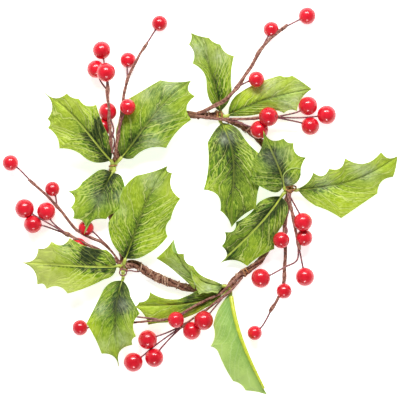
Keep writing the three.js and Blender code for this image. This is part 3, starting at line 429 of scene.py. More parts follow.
def leafFaceMaterial():
    # Satin polyester cloth, printed with a net of light veins and heat-embossed: soft glints along the quilting,
    # painted into the colour as pale highlights, and deep green at the midrib that turns yellow-green towards the
    # margin. A lateral vein is a line of whole phase that forks towards the margin; painted shade lies along both sides
    # of it.
    material, add, fill = newMaterial("leaf face, embossed satin polyester")
    net = {"cell": 2.6, "cellLength": 2.9, "fineCell": 1.4, "drift": 2.2, "driftShare": 0.6, "veinWidth": 0.62,
           "wobble": 6, "wobbleShare": 0.65, "breaks": 4, "veinShade": 1.5, "streak": 0.9, "streakLength": 2.4, "dye": 2.2,
           "relief": 0.4, "streakShare": 0.75, "dyeShare": 0.6, "toneMiddle": 0.59, "contrast": 0.75}
    (phase, ribSide, edge), (spacing, fork, veins), (tone, paintedSheen, meshShare), (pale, dark, along) = (
        add("SeparateXYZ", add("Attribute", attribute_name=name, out="Vector"), out=xyz)
        for name in ("veinPlace", "veinScale", "tones", "ribTones"))
    spot = add("TexCoord", out="Object")
    wobble, dye, broken = (add("TexNoise", {"Vector": spot, "Scale": 1 / (net[name] * mm), "Detail": detail}, out="Fac")
                           for name, detail in (("wobble", 3.0), ("dye", 3.0), ("breaks", 2.0)))

    # Distance to the nearest lateral vein, in mm. A Map Range takes its value, from low, from high, to low, to high.
    bent = add(timesPlus, wobble, net["wobbleShare"], phase)
    near = add(pingPong, bent, 0.5)
    forked = add(absolute, add(minus, near, fork))
    offVein = add(times, forked, spacing)
    line = add(easedRange, offVein, net["veinWidth"], 0.12, 0.0, veins)
    for value, low, high in (broken, 0.3, 0.43), (edge, 0.2, 2.5):
        line = add(times, line, add(easedRange, value, low, high))
    # Painted shade on both sides of each lateral vein, up to 1.5 mm from it
    veinShade = add(easedRange, offVein, net["veinShade"], 0.4, 0.0, veins)

    # The net between the veins, from two sizes of cell that follow them
    across = add(times, phase, spacing)
    drift = add("TexNoise", {"Vector": spot, "Scale": 1 / (net["drift"] * mm)}, out="Color")
    veinwise, grain = (
        add("CombineXYZ", add(times, across, 1 / wide), add(times, ribSide, 1 / long))
        for wide, long in ((net["cell"], net["cellLength"]), (net["streak"], net["streakLength"])))
    shifted = add("VectorMath", drift, (net["driftShare"],) * 3, veinwise, operation="MULTIPLY_ADD")
    mesh, fine = (
        add(easedRange, add("TexVoronoi", {"Vector": shifted, "Scale": scale}, feature="DISTANCE_TO_EDGE",
                            out="Distance"), low, high, 0.0, meshShare)
        for scale, low, high in ((1.0, 0.14, 0.04), (net["cell"] / net["fineCell"], 0.2, 0.03)))

    # Streaks of dye along the veins and cloudy dye across them, then painted shade beside the veins, deepest near the
    # midrib
    streak = add("TexNoise", {"Vector": grain, "Scale": 1.0, "Detail": 3.0}, out="Fac")
    level = add(timesPlus, streak, net["streakShare"], add(minus, tone, net["toneMiddle"]))
    level = add(timesPlus, dye, net["dyeShare"], level)
    away = add(absolute, ribSide)
    creaseShade = add("MapRange", away, 8.0, 1.0, -0.15, -0.42)
    level = add(timesPlus, veinShade, creaseShade, level)
    colour = add("ValToRGB", add(times, level, net["contrast"]), stops=[
        (0.0, "#132802"), (0.165, "#2b4f07"), (0.338, "#547c06"), (0.525, "#85a50e"), (0.75, "#b0c828"),
        (1.0, "#d6e27a")])

    # The veins and the net fade where the tone is dark, from dye or painted shade, and the veins far from the midrib
    # too
    shown = add("MapRange", level, 0.0, 0.5, 0.06)
    fineShown, meshShown = (add(times, share, shown) for share in (fine, mesh))
    reach = add("MapRange", away, 15.0, 3.0, 0.65, 1.0)
    faded = add("MapRange", level, -0.2, 0.3, 0.2)
    drawn = add(times, add(times, line, reach), faded)

    # The midrib: painted shade in its fold, with a light line beside it
    shift = add(times, add(sign, dark), pale)
    aside = add(absolute, add(timesPlus, shift, -1.0, ribSide))
    foldShade = add(easedRange, aside, 1.1, 0.3, 0.0, add(absolute, dark))
    mottle = add("MapRange", dye, 0.4, 0.55, 1.0, 0.5)
    tipFade = add(easedRange, along, 0.98, 0.6)
    foldShade = add(times, add(times, foldShade, mottle), tipFade)
    ribLine = add(easedRange, away, 0.8, 0.3, 0.0, pale)

    # Painted highlight: where the satin would catch the light its colour is painted pale and silvery, along the weave;
    # the cut edge is pale too
    glintBreakup = add(easedRange, add(plus, streak, dye), 0.8, 1.2, 0.4, 1.1)
    glint = add(times, paintedSheen, glintBreakup, use_clamp=True)
    rim = add(easedRange, edge, 0.7, 0.1, 0.0, 0.4)
    for share, strength, code in [
            (fineShown, 0.25, "#aeca38"), (meshShown, 0.8, "#c6da56"), (drawn, 1, "#d8e57a"), (foldShade, 0.9, "#1d3c0b"),
            (ribLine, 0.9, "#d6e566"), (glint, 0.65, "#d9e5c2"), (rim, 1, "#bfd672")]:
        colour = add(mix, {0: add(times, share, strength), 6: colour, 7: code}, out=2)

    height = add(timesPlus, mesh, 0.5, add(timesPlus, line, -0.8, streak))
    rough = add(timesPlus, paintedSheen, -0.08, add(timesPlus, streak, 0.12, 0.48))
    fill({"Base Color": colour, "Roughness": rough, "IOR": 1.45, "Specular IOR Level": 0.32,
          "Normal": add("Bump", {"Height": height, "Distance": net["relief"] * mm, "Strength": 0.8})})
    return material


def leafBackMaterial():
    # The unprinted back of the cloth: pale matt green with the emboss just showing
    material, add, fill = newMaterial("leaf back, plain matt polyester")
    (phase, ribSide, edge), (spacing, _, _), (tone, _, _) = (
        add("SeparateXYZ", add("Attribute", attribute_name=name, out="Vector"), out=xyz)
        for name in ("veinPlace", "veinScale", "tones"))
    cloudSize, fibreSize, relief = 9, 0.8, 0.08
    spot = add("TexCoord", out="Object")
    dye, fibres = (add("TexNoise", {"Vector": spot, "Scale": 1 / (cell * mm), "Detail": 4.0}, out="Fac")
                   for cell in (cloudSize, fibreSize))
    mixed = add(plus, add(plus, dye, fibres), tone)
    colour = add("ValToRGB", add(timesPlus, mixed, 0.5, -0.25), stops=[
        (0.3, "#86b04e"), (0.5, "#9cc05a"), (0.7, "#b3d26c")])

    # Lateral veins as faint pale lines, painted shade along the midrib where it folds, and the pale cut edge
    near = add(pingPong, add(timesPlus, dye, 0.8, phase), 0.5)
    offVein, away = add(times, near, spacing), add(absolute, ribSide)
    for value, far, close, strength, code in [
            (offVein, 0.5, 0.1, 0.25, "#d2e6a6"), (away, 4.5, 1.5, 0.45, "#5f8c2c"), (edge, 1.0, 0.1, 0.6, "#cfe07a")]:
        share = add("MapRange", value, far, close, 0.0, strength)
        colour = add(mix, {0: share, 6: colour, 7: code}, out=2)
    fill({"Base Color": colour, "Roughness": 0.68,
          "Normal": add("Bump", {"Height": fibres, "Distance": relief * mm, "Strength": 0.6})})
    return material


def mouldedGreenMaterial(name, low, high):
    # Injection-moulded soft polyethylene: slightly waxy, a little uneven in colour
    material, add, fill = newMaterial(name)
    cloudSize, relief = 3, 0.15
    cloud = add("TexNoise", {"Vector": add("TexCoord", out="Object"), "Scale": 1 / (cloudSize * mm), "Detail": 3.0},
                out="Fac")
    fill({"Base Color": add("ValToRGB", cloud, stops=[(0.3, low), (0.7, high)]), "Roughness": 0.38, "IOR": 1.5,
          "Subsurface Weight": 0.1, "Subsurface Radius": (0.001, 0.0012, 0.0005),
          "Normal": add("Bump", {"Height": cloud, "Distance": relief * mm, "Strength": 0.5})})
    return material


leafFace, leafBack = leafFaceMaterial(), leafBackMaterial()
ribGreen = mouldedGreenMaterial("leaf rib, moulded polyethylene", "#b9cc3a", "#dfe442")
for number, (name, leaf) in enumerate(leaves.items()):
    turnedOver = leaf.get("showsUnderside", False)
    parts = bladeParts(leaf, 100 + 10 * number, turnedOver)
    parts += [hemTube(line, parts[0]) for line in leaf.get("hems", [])]
    makePiece(name.replace("leaf", "blade"), [name], parts,
              [leafFace, leafBack, ribGreen])
print("leaves made:", len(leaves))


# root: where the stem comes out of the ring's binding. girth: how much thicker or thinner than usual the stem is.
# slimStart: how thin it starts where another stem hides it. stem: its points, [x, y, z]. berries: [x, y, z, radius,
# share of the stem's length at which the wire leaves it, then the points of the wire].
sprays = {
    "spray_top_small": dict(root=[-2, 58, 4.4], girth=1.25, stem=[[4.5, 60.5, 7], [10, 63.5, 10], [16.5, 67, 12.4],
        [22, 72, 12.4], [27, 79, 11], [34, 89.5, 10], [42, 103, 9], [52.5, 113, 8], [58.5, 117.5, 7.5]],
        berries=[[71.5, 123.5, 5.6, 5.5, 1, [65.5, 120.5, 7]], [47.5, 114.5, 5.6, 5, 0.71, [45.5, 110, 7]],
        [37.5, 81, 12.8, 5.1, 0.34, [32, 79.5, 11.5]]]),
    "spray_top_large": dict(root=[-3, 57, 4.4],
        stem=[[3.5, 55.5, 6.5], [13.5, 54.5, 8.6], [26.5, 54.5, 10.1], [41.5, 55.5, 10], [53.5, 56, 9]],
        berries=[[72, 63.5, 6.4, 6.2, 1, [65.5, 59.5, 8]], [84.5, 57.5, 6.3, 6.1, 1, [66.5, 55.5, 8],
        [78.5, 56.5, 7]], [73.5, 50, 6, 5.8, 1, [68, 52, 7]], [45.5, 56, 14, 6.2, 0.67, [41.5, 55.5, 11]],
        [39.5, 47.5, 9.6, 5.9, 0.4, [32, 50, 9.6]]]),
    "spray_right_large": dict(root=[58.8, 7.6, 4.6],
        stem=[[59, 4.7, 7.4], [60.3, -3, 8.6], [62.2, -12.5, 8.5], [64.2, -22.5, 8], [66.5, -32.5, 8]],
        berries=[[68.5, -14, 10.5, 6, 0.07, [66, -8, 9.5]], [69.5, -24.5, 6.1, 5.4, 0.25, [66, -18, 7.5]],
        [40.5, -51.5, 6.4, 6.2, 1, [64.5, -39.5, 9], [56.5, -44, 9.5], [46.5, -49.5, 8]],
        [70, -50.5, 6.3, 6, 1, [68.5, -43.5, 7]]]),
    "spray_right_small": dict(root=[59.6, 6, 4], girth=1.18, stem=[[61.4, 1.2, 5.4], [59, -4.5, 4], [57, -11.5, 3.6],
        [56.5, -18, 4.3], [56.8, -25, 5.8], [57, -32.5, 6.5], [56.5, -42.5, 6.5], [55.5, -56, 6.5],
        [51.5, -65.5, 6.5], [46.5, -74, 6.5]], berries=[[36.5, -88, 5.1, 4.7, 1, [41.5, -83.5, 5.6]],
        [56, -60, 7.5, 4.9, 0.66, [56, -55.5, 7]], [54, -26, 11.5, 5.3, 0.21, [58, -20.5, 8.5]]]),
    "spray_bottom_small": dict(root=[26, -50, 5.2], girth=0.82, stem=[[21, -54.5, 7.9], [17.7, -57.9, 9.7],
        [15.5, -60.2, 9.2], [12.8, -62.3, 8.1], [6.5, -65, 8.1], [0, -68, 8.5], [-11.5, -74.5, 9],
        [-21.5, -78.5, 9.2], [-33.5, -80, 8.8], [-44, -81, 7.2], [-60, -82.5, 5.8], [-70.5, -84, 5.2]],
        berries=[[-80, -84.5, 5.2, 5, 1, [-74.5, -84.5, 5.2]], [-16, -79, 12.5, 5.2, 0.32, [-10.5, -74.5, 10]],
        [-48.5, -76.5, 5.3, 4.9, 0.5, [-30, -78.5, 8.6], [-40, -77.5, 7]]]),
    "spray_bottom_large": dict(root=[28, -51, 5.2], girth=0.85, stem=[[24.5, -56, 7.8], [20.2, -60, 9.3],
        [15, -63.9, 9.2], [9.6, -68.2, 9], [4.2, -72.4, 8.6], [-2.6, -76.8, 8.1], [-9.6, -81.8, 7.4],
        [-13.8, -85.3, 7]], berries=[[2.5, -79.5, 12.5, 6.2, 0.22, [12.8, -67.2, 9.8], [7.6, -73.4, 10.8]],
        [-5.5, -86.5, 6.9, 5.8, 0.67, [-2.5, -82, 7.5]], [-35, -92.5, 6.3, 6.2, 1, [-22.5, -88, 6.8],
        [-29.5, -90.5, 6.5]], [-30.5, -104.5, 6.2, 6, 1, [-20, -91.5, 6.8], [-27.5, -100, 6.5]],
        [-44.5, -107.5, 6.3, 6.2, 1, [-29.5, -96, 6.8], [-38.5, -103.5, 6.5]]]),
    "spray_left_small": dict(root=[-53, -41.5, 4], slimStart=0.7, stem=[[-55.5, -35.8, 6.6], [-63.5, -28.8, 6.6],
        [-71, -25.2, 6.5], [-77.5, -22.2, 6.5], [-82.5, -19.2, 6.8], [-87.5, -13.2, 7], [-94.5, -4.5, 7],
        [-101, 2.5, 7], [-107.5, 8.5, 6.5], [-114.5, 14.5, 6]],
        berries=[[-126.5, 25.5, 5.3, 5.1, 1, [-121.5, 22, 5.5]], [-98.5, 8, 5.1, 4.8, 0.65, [-96.5, 3.5, 6]],
        [-76, -18, 5.2, 5, 0.13, [-71.5, -20.5, 6]]]),
    "spray_left_large": dict(root=[-52.5, -43, 4], stem=[[-54.5, -40, 6.7], [-60, -36.9, 6.5], [-66.5, -32.9, 7.6],
        [-76.5, -28.4, 9.4], [-86.5, -23.2, 9.2], [-91.5, -20.7, 8]],
        berries=[[-102.5, -7, 6.3, 6, 1, [-98.5, -14, 8]], [-111.5, -15.5, 6, 5.8, 1, [-104.5, -16.5, 7]],
        [-117, -5, 6.4, 6.2, 1, [-101.5, -14.5, 9.5], [-109.5, -10, 8]],
        [-81.5, -30.5, 6.2, 5.8, 0.53, [-77.5, -29.5, 7]], [-74.5, -37.5, 6.1, 5.7, 0.29, [-70, -36, 6.5]]]),
    "spray_upper_small": dict(root=[-57, 27.5, 3.6], stem=[[-56.5, 25.5, 7.9], [-56.5, 30.5, 9.8], [-55, 40.5, 11],
        [-53.5, 50.5, 11], [-52, 60.5, 11.5], [-50, 74, 11], [-48, 81.5, 10.5], [-45.5, 87.5, 10], [-42, 94, 9.5],
        [-39, 99.5, 9], [-35, 105.5, 8.5]], berries=[[-27, 118.5, 5.4, 5.1, 1, [-29.5, 114.5, 6.5]],
        [-48, 94, 5.5, 5, 0.67, [-48.5, 88.5, 8]], [-48, 62.5, 14.7, 5.1, 0.25, [-51.5, 55.5, 12.5]]]),
    "spray_upper_large": dict(root=[-56.2, 27.5, 3.4], slimStart=0.45, stem=[[-59.5, 24.5, 8.6], [-58.5, 34, 13],
        [-59.5, 42, 15.2], [-60.5, 54, 15.5], [-60.5, 62, 15.5], [-61.5, 70.5, 14], [-61.5, 78.5, 13],
        [-63.5, 90, 10.5]], berries=[[-65.5, 100.5, 8, 5.8, 1, [-64.5, 96, 9]],
        [-62.5, 85.5, 15.5, 6, 0.76, [-62, 80.5, 14]], [-69.5, 88, 6.5, 5.7, 0.7, [-66, 79.5, 10]],
        [-61.5, 59.5, 8.8, 5.8, 0.2, [-57.5, 47.5, 11]], [-64.5, 49.5, 6.1, 5.6, 0.17, [-57, 39.5, 9.5],
        [-59.5, 46.5, 7]]]),
}
stemSizes = {"radius": 1.15, "endRadius": 0.88, "strands": 3, "strandShare": 0.58, "looseness": 1.1, "pitch": 45,
             "step": 0.6, "wireRadius": 0.6, "wireEnd": 0.52, "bindSwell": 0.3, "bindLength": 2.5, "taper": [10, 18],
             "uneven": [0.07, 2.2], "twist": [0.6, 12], "glue": 0.28, "glueLength": 0.5, "forkSetback": 0.4,
             "cadStemStep": 9}
berrySizes = {"rings": 26, "sides": 36, "sunkShare": 0.4, "dimple": 0.35, "dimpleWidth": 0.16, "lacquer": 0.2,
              "unevenness": 0.012, "lumpCell": 1.3, "lumpSpread": 3}


def ball(centre, radius, pole, seed):
    # Rings of latitude about the pole; the skin swells a little at random and dips at the far end, where it was dipped
    sides, dimple = berrySizes["sides"], berrySizes["dimple"]
    pole = unit(np.array(pole, float))
    across = unit(np.cross(pole, [0.31, 0.52, 0.8]))
    polar = np.linspace(0, np.pi, berrySizes["rings"] + 1)[1:-1, None]
    turn = np.linspace(0, 2 * np.pi, sides, endpoint=False)
    spread, cell = berrySizes["lumpSpread"], berrySizes["lumpCell"]
    bumps = smoothNoise(np.cos(turn) * spread + 0 * polar, polar * 2 + np.sin(turn) * spread, cell, seed)
    swell = 1 + berrySizes["unevenness"] * bumps - dimple / radius * np.exp(-(polar / berrySizes["dimpleWidth"])**2)
    direction = around(polar, pole, around(turn, across, np.cross(pole, across)))
    verts, quads, fans = closedRings(
        direction * (radius * swell)[..., None], [pole * (radius - dimple), -pole * radius])
    shade = np.random.default_rng(seed).uniform(-1, 1)
    fromPole = np.concatenate([np.repeat(polar.ravel(), sides), [0, np.pi]])
    tint = np.stack([fromPole * radius, np.full(len(verts), shade), np.zeros(len(verts))], -1)
    return {"verts": verts + centre, "faces": [(quads[:, ::-1], 0), (fans[:, ::-1], 0)], "tint": tint}


def sprayParts(spray, seed):
    # The stem is three strands wound round a line from the root. Its radius falls evenly, swells where wires join it,
    # starts slim on some, and is uneven from the tape.
    path = smoothPath(spray["stem"], stemSizes["step"])
    line = smoothPath([spray["root"], *spray["stem"][1:]], stemSizes["step"])
    length, span = lengthAlong(line), lengthAlong(path)[-1]
    steps = max(2, round(span / stemSizes["cadStemStep"]))
    knots = [min(round(berry[4] * steps), steps - stemSizes["forkSetback"]) / steps for berry in spray["berries"]]
    radius = stemSizes["radius"] + (stemSizes["endRadius"] - stemSizes["radius"]) * length / length[-1]
    for knot in knots:
        place = length[-1] - (1 - knot) * span
        radius = radius + stemSizes["bindSwell"] * np.exp(-((length - place) / stemSizes["bindLength"])**2)
    slim = spray.get("slimStart", 1)
    radius = spray.get("girth", 1) * radius * (1 + sway(length, seed, *stemSizes["uneven"]))
    radius = radius * (slim + (1 - slim) * easedStep(*stemSizes["taper"], length))
    thick, count, stems, balls = stemSizes["strandShare"] * radius, stemSizes["strands"], [], []
    for i in range(count):
        turn = 2 * np.pi * (i / count + length / stemSizes["pitch"]) + sway(length, seed + 5 + i, *stemSizes["twist"])
        offset = (stemSizes["looseness"] * (radius - thick))[:, None] * around(turn, *crossAxes(line))
        stems.append(tube(line + offset, thick, 10))
    for number, (berry, knot) in enumerate(zip(spray["berries"], knots)):
        centre, size, points = np.array(berry[:3], float), berry[3], berry[5:]
        fork, last = path[int(knot * (len(path) - 1))], np.array(points[-1], float)
        inside = centre + (last - centre) * berrySizes["sunkShare"] * size / np.linalg.norm(last - centre)
        wire = smoothPath([fork, *points, inside], 0.5)
        thin = np.linspace(stemSizes["wireRadius"], stemSizes["wireEnd"], len(wire))
        fromBerry = np.linalg.norm(wire - centre, axis=1) - size
        thin = thin + stemSizes["glue"] * np.exp(-(fromBerry / stemSizes["glueLength"])**2)
        stems.append(tube(wire, thin, 8, 1))
        balls.append(ball(centre, size + berrySizes["lacquer"], centre - last, seed + number))
    return stems, balls


def tapedStemMaterial(name, dark, middle, light):
    # Paper floral tape wound on wire: fine ridges round the stem, waxed brown with paler worn crests
    material, add, fill = newMaterial(name)
    grainSize, ridgesPerMm, relief = 1.4, 2.2, 0.25
    along, turn, _ = add("SeparateXYZ", add("Attribute", attribute_name="place", out="Vector"), out=xyz)
    ridge = add(sine, add(timesPlus, along, ridgesPerMm, turn))
    rough = add("TexNoise", {"Vector": add("TexCoord", out="Object"), "Scale": 1 / (grainSize * mm), "Detail": 4.0},
                out="Fac")
    level = add(timesPlus, ridge, 0.03, rough)
    fill({"Base Color": add("ValToRGB", level, stops=[(0.3, dark), (0.5, middle), (0.72, light)]), "Roughness": 0.55,
          "Normal": add("Bump", {"Height": level, "Distance": relief * mm, "Strength": 0.7})})
    return material


def berryMaterial():
    # Foam ball dipped in red lacquer: deep gloss, a shade darker round the dip at its end
    material, add, fill = newMaterial("berry, glossy red lacquer")
    fromEnd, shade, _ = add("SeparateXYZ", add("Attribute", attribute_name="tint", out="Vector"), out=xyz)
    cloudSize = 4
    cloud = add("TexNoise", {"Vector": add("TexCoord", out="Object"), "Scale": 1 / (cloudSize * mm)}, out="Fac")
    level = add(timesPlus, shade, 0.12, cloud)
    colour = add("ValToRGB", level, stops=[(0.3, "#c60d22"), (0.5, "#da1328"), (0.7, "#e61c31")])
    scar = add(easedRange, fromEnd, 1.0, 0.4)
    fill({"Base Color": add(mix, {0: scar, 6: colour, 7: "#5a0f12"}, out=2), "Roughness": 0.24, "IOR": 1.5,
          "Coat Weight": 0.35, "Coat Roughness": 0.14})
    return material


tapedStem = tapedStemMaterial("stem, waxed paper tape", "#5c3026", "#905c4d", "#c0917b")
bareWire = tapedStemMaterial("wire, wine-red paper cover", "#56232a", "#81444a", "#aa7070")
berryRed = berryMaterial()
for number, (name, spray) in enumerate(sprays.items()):
    stems, balls = sprayParts(spray, 300 + 20 * number)
    makePiece(name.replace("spray", "stems"), [name], stems, [tapedStem, bareWire])
    makePiece(name.replace("spray", "berries"), [name], balls, [berryRed])
print("sprays made:", len(sprays))


# route: the middle of the ring's twig from collar to collar, [x, y]. collarAlong: which way the collar at its start
# points. neck: the length over which its strands spread. wraps: tapes, [share of the route, turns]. ties: brown tie
# wires, the same.
stretches = {
    "top": dict(route=[[12.5, 57.5], [20, 53.6], [26.7, 50.7], [33.8, 46.2], [41.7, 38.2], [50.2, 27.6], [56, 17.5],
        [59.5, 8.5]], collarAlong=[1, -0.35], ties=[[0.12, 1], [0.3, 1]]),
    "right": dict(route=[[59.5, 8.5], [58.2, 2.5], [54.5, -4], [51, -10], [49, -18], [46.5, -27], [41.5, -38],
        [34.5, -44.5], [23.5, -52], [19.5, -57.5]], collarAlong=[0.1, -1], neck=14, wraps=[[0.82, 2]],
        ties=[[0.55, 1], [0.9, 1]]),
    "bottom": dict(route=[[19.5, -57.5], [8, -59.5], [-4.5, -58.4], [-13.5, -56.5], [-24.5, -52.9], [-34.5, -47.8],
        [-44.5, -42.1], [-51.5, -44.5]], collarAlong=[-0.75, -0.65], girth=1.15, wraps=[[0.63, 3]], ties=[[0.4, 1],
        [0.46, 1], [0.54, 1], [0.57, 2], [0.62, 1], [0.66, 2], [0.7, 2], [0.74, 1], [0.78, 2], [0.85, 1], [0.93, 1],
        [0.97, 2]]),
    "left": dict(route=[[-51.5, -44.5], [-51.5, -37], [-53.5, -29], [-56.5, -20], [-59, -10], [-60.5, 1],
        [-59.5, 12.5], [-58, 23.5]], collarAlong=[-0.55, 0.83]),
    "upper": dict(route=[[-58, 23.5], [-53.5, 34], [-44.5, 44.5], [-33.5, 52.5], [-20, 57.5], [-6.5, 57.5], [3.5, 57],
        [12.5, 57.5]], collarAlong=[0.2, 1], ties=[[0.86, 1], [0.93, 2]]),
}
ring = {"height": 3.1, "clearance": 1.5, "step": 0.5, "neck": 0.1, "neckShare": 0.35, "neckStart": 0.3,
        "endThin": 0.55, "endLength": 1.5, "strands": 4, "sides": 14, "strandRadius": 0.95, "strandOffset": 1.4,
        "pitch": 52, "bark": 0.15, "wrapRadius": 0.45, "wrapPitch": 1.7, "wrapHeight": 2.35, "wrapSway": 1.6,
        "wrapOffTable": 0.1, "fibres": 12, "fibreRadius": 0.2, "fibreTaper": [1.3, 0.5], "fibreTurn": 0.2,
        "fibreReach": [2.5, 5.5], "fibreRoot": 1.9, "fibreBend": 2.6, "fibreBendAt": 0.45, "fibreTop": [2.2, 3.2]}
# Random changes along the ring: their size, as a length or a share, and their cell
ringSway = {"twist": [0.35, 9], "wander": [0.22, 7], "swell": [0.12, 6], "wrapGap": [0.35, 4], "wrapLift": [0.25, 3],
            "wrapSwell": [0.25, 1.1], "lumpCell": 1.3, "slowLumpCell": 0.7, "slowShare": 0.3, "lumpSpread": 3}


def ringPath(route):
    path = smoothPath([[x, y, ring["height"]] for x, y in route], ring["step"])
    spare = int(ring["clearance"] / ring["step"])
    return path[spare:-spare]


def strand(path, start, seed, girth, neck):
    # A strand wound round the path at an offset, lumpy like bark: its radius follows noise along it and round it
    length = lengthAlong(path)
    turn = start + 2 * np.pi * length / ring["pitch"] + sway(length, seed, *ringSway["twist"])
    wander = girth * ring["strandOffset"] * (1 + sway(length, seed + 4, *ringSway["wander"]))
    narrow = ring["neckShare"] + (1 - ring["neckShare"]) * easedStep(ring["neckStart"], 1, length / neck)
    line = path + (narrow * wander)[:, None] * around(turn, *crossAxes(path))
    side, down = np.linspace(0, 2 * np.pi, ring["sides"], endpoint=False), length[:, None]
    spread, reach = ringSway["lumpSpread"], ring["endLength"]
    lumps = smoothNoise(down, spread * np.cos(side), ringSway["lumpCell"], seed + 1)
    slow = smoothNoise(down * ringSway["slowShare"], spread * np.sin(side), ringSway["slowLumpCell"], seed + 2)
    lumps, swell = lumps + slow, 1 + sway(length, seed + 3, *ringSway["swell"])
    full = easedStep(0, reach, length) * easedStep(0, reach, length[-1] - length)
    ends = ring["endThin"] + (1 - ring["endThin"]) * full
    radius = (girth * ring["strandRadius"] * swell * ends)[:, None] + ring["bark"] * lumps * narrow[:, None]
    return tube(line, radius, ring["sides"])


def windings(path, share, turns, seed, girth, material):
    # A cord wound round the twig by hand: a helix that clears the strands, with uneven gaps and slant
    t = np.linspace(-0.5, 0.5, int(40 * turns))
    turn = 2 * np.pi * turns * t + seed
    at = (t * turns + sway(turn, seed + 7, *ringSway["wrapGap"])) * ring["wrapPitch"] / ring["step"]
    at = at + share * (len(path) - 1) + ring["wrapSway"] * np.sin(turn + seed)
    middle, across, up = (np.stack([np.interp(at, np.arange(len(path)), values[:, k]) for k in range(3)], 1)
                          for values in (path, *crossAxes(path)))
    lift = girth * (ring["wrapHeight"] + sway(at, seed, *ringSway["wrapLift"]))
    line = middle + lift[:, None] * around(turn, across, up)
    line[:, 2] = np.maximum(line[:, 2], ring["wrapRadius"] + ring["wrapOffTable"])
    return tube(line, ring["wrapRadius"] * (1 + sway(at, seed + 1, *ringSway["wrapSwell"])), 10, material)


def fibres(path, seed):
    # Short loose fibres that lift off the twig and curl back
    random = np.random.default_rng(seed)
    across, up = crossAxes(path)
    parts = []
    for _ in range(ring["fibres"]):
        at = random.integers(8, len(path) - 16)
        out = around(random.uniform(ring["fibreTurn"], np.pi - ring["fibreTurn"]), across[at], up[at])
        reach = random.uniform(*ring["fibreReach"]) * unit(path[at + 6] - path[at])
        curl = path[at] + [out * ring["fibreRoot"], out * ring["fibreBend"] + reach * ring["fibreBendAt"],
                           out * random.uniform(*ring["fibreTop"]) + reach]
        line = smoothPath(curl, 0.4)
        parts.append(tube(line, ring["fibreRadius"] * np.linspace(*ring["fibreTaper"], len(line)), 6))
    return parts


def barkMaterial():
    # Grapevine bark under old paper tape: dark furrows, partly painted shade, warm brown ridges and pinkish crests,
    # partly wear and partly painted highlight; the same pattern sets the bump, so the dark lies in its hollows
    material, add, fill = newMaterial("twig, furrowed brown bark")
    flakeSize, relief = 1.8, 0.6
    along, turn, _ = add("SeparateXYZ", add("Attribute", attribute_name="place", out="Vector"), out=xyz)
    grain = add("CombineXYZ", add(times, along, 0.45), add(times, turn, 2.5))
    furrow = add("TexNoise", {"Vector": grain, "Scale": 1.6, "Detail": 5.0, "Roughness": 0.65}, out="Fac")
    flake = add("TexNoise", {"Vector": add("TexCoord", out="Object"), "Scale": 1 / (flakeSize * mm), "Detail": 4.0},
                out="Fac")
    level = add(times, add(plus, furrow, flake), 0.5)
    fill({"Base Color": add("ValToRGB", level, stops=[
              (0.36, "#37190f"), (0.44, "#6c3e2d"), (0.54, "#9c6a53"), (0.66, "#d2ab90")]), "Roughness": 0.75,
          "Normal": add("Bump", {"Height": level, "Distance": relief * mm, "Strength": 0.9})})
    return material


bark = barkMaterial()
cord = tapedStemMaterial("binding, tan paper cord", "#6e4223", "#a9713f", "#cf9a5c")
barkStrip = tapedStemMaterial("tie, strip of pale inner bark", "#6f4735", "#b48a71", "#ddbaa0")
for number, (pick, stretch) in enumerate(stretches.items()):
    path, seed, girth = ringPath(stretch["route"]), 600 + 10 * number, stretch.get("girth", 1)
    parts = [strand(path, 2 * np.pi * i / ring["strands"], seed + 3 * i, girth, stretch.get("neck", ring["neck"]))
             for i in range(ring["strands"])]
    for i, (share, turns) in enumerate(stretch.get("wraps", [])):
        parts.append(windings(path, share, turns, seed + i, girth, 1 if pick == "right" else 2))
        parts.append(windings(path, share + 0.03, turns - 1, seed + i + 40, girth, 0))
    for i, (share, turns) in enumerate(stretch.get("ties", [])):
        parts.append(windings(path, share, turns, seed + 60 + i, girth, 2 * (i % 2)))
    parts += fibres(path, seed + 5)
    makePiece(f"strands_{pick}", [f"twig_{pick}"], parts, [bark, cord, barkStrip])
print("ring made")


joint = {"radius": 2.3, "halfLength": 3.4, "tapeRadius": 0.5, "tapeTurns": 1.5, "tapeFromEnd": 0.6,
         "petioleRadii": [1.35, 1.2, 1.1, 0.5], "petiolePlaces": [0, 0.45, 0.65, 1], "intoLeaf": 4.0, "under": 0.9,
         "before": 2.2, "cordRadius": 0.55, "cordSag": 0.12, "cordSwell": 0.2, "cordCell": 1.4, "cordSpread": 3,
         "drumTaper": 0.22, "tapeSink": 0.12, "tapeOut": 0.15, "tapeSwell": [0.15, 1.5], "tapeSpan": 30,
         "drops": [0.3, 0.9, 1.1]}
# Flat loops of tan cord tied over a joint: centre, half length, half width and the turn of the long side
cordLoops = {
    "right": [([60.6, 8.6, 7.4], 3.5, 1.5, 0.12), ([59.8, 8, 7], 2.6, 1.8, -0.3)],
    "top": [([13.2, 57, 6.9], 1.5, 2.8, 0.1)],
}


def barrel(centre, along):
    # A rounded drum about the ring, cut flat where it rests: its height is held at the surface
    t = np.linspace(-1, 1, 25)
    line = centre + along * (t * joint["halfLength"])[:, None]
    drum = tube(line, joint["radius"] * (1 - joint["drumTaper"] * np.abs(t)**4), 28)
    drum["verts"][:, 2] = np.maximum(drum["verts"][:, 2], 0.0)
    return drum


def jointWindings(centre, along, seed):
    # A helix of cord that follows the drum's swell
    t, level = np.linspace(-1, 1, 200), np.array([0, 0, 1.0])
    turn = np.pi * joint["tapeTurns"] * t + seed
    radius = joint["radius"] * (1 - joint["tapeSink"] * np.abs(t)**3) + joint["tapeOut"]
    line = centre + along * (t * (joint["halfLength"] - joint["tapeFromEnd"]))[:, None]
    line = line + radius[:, None] * around(turn, np.cross(level, along), level)
    line[:, 2] = np.maximum(line[:, 2], joint["tapeRadius"])
    return tube(line, joint["tapeRadius"] * (1 + sway(t * joint["tapeSpan"], seed, *joint["tapeSwell"])), 10, 1)


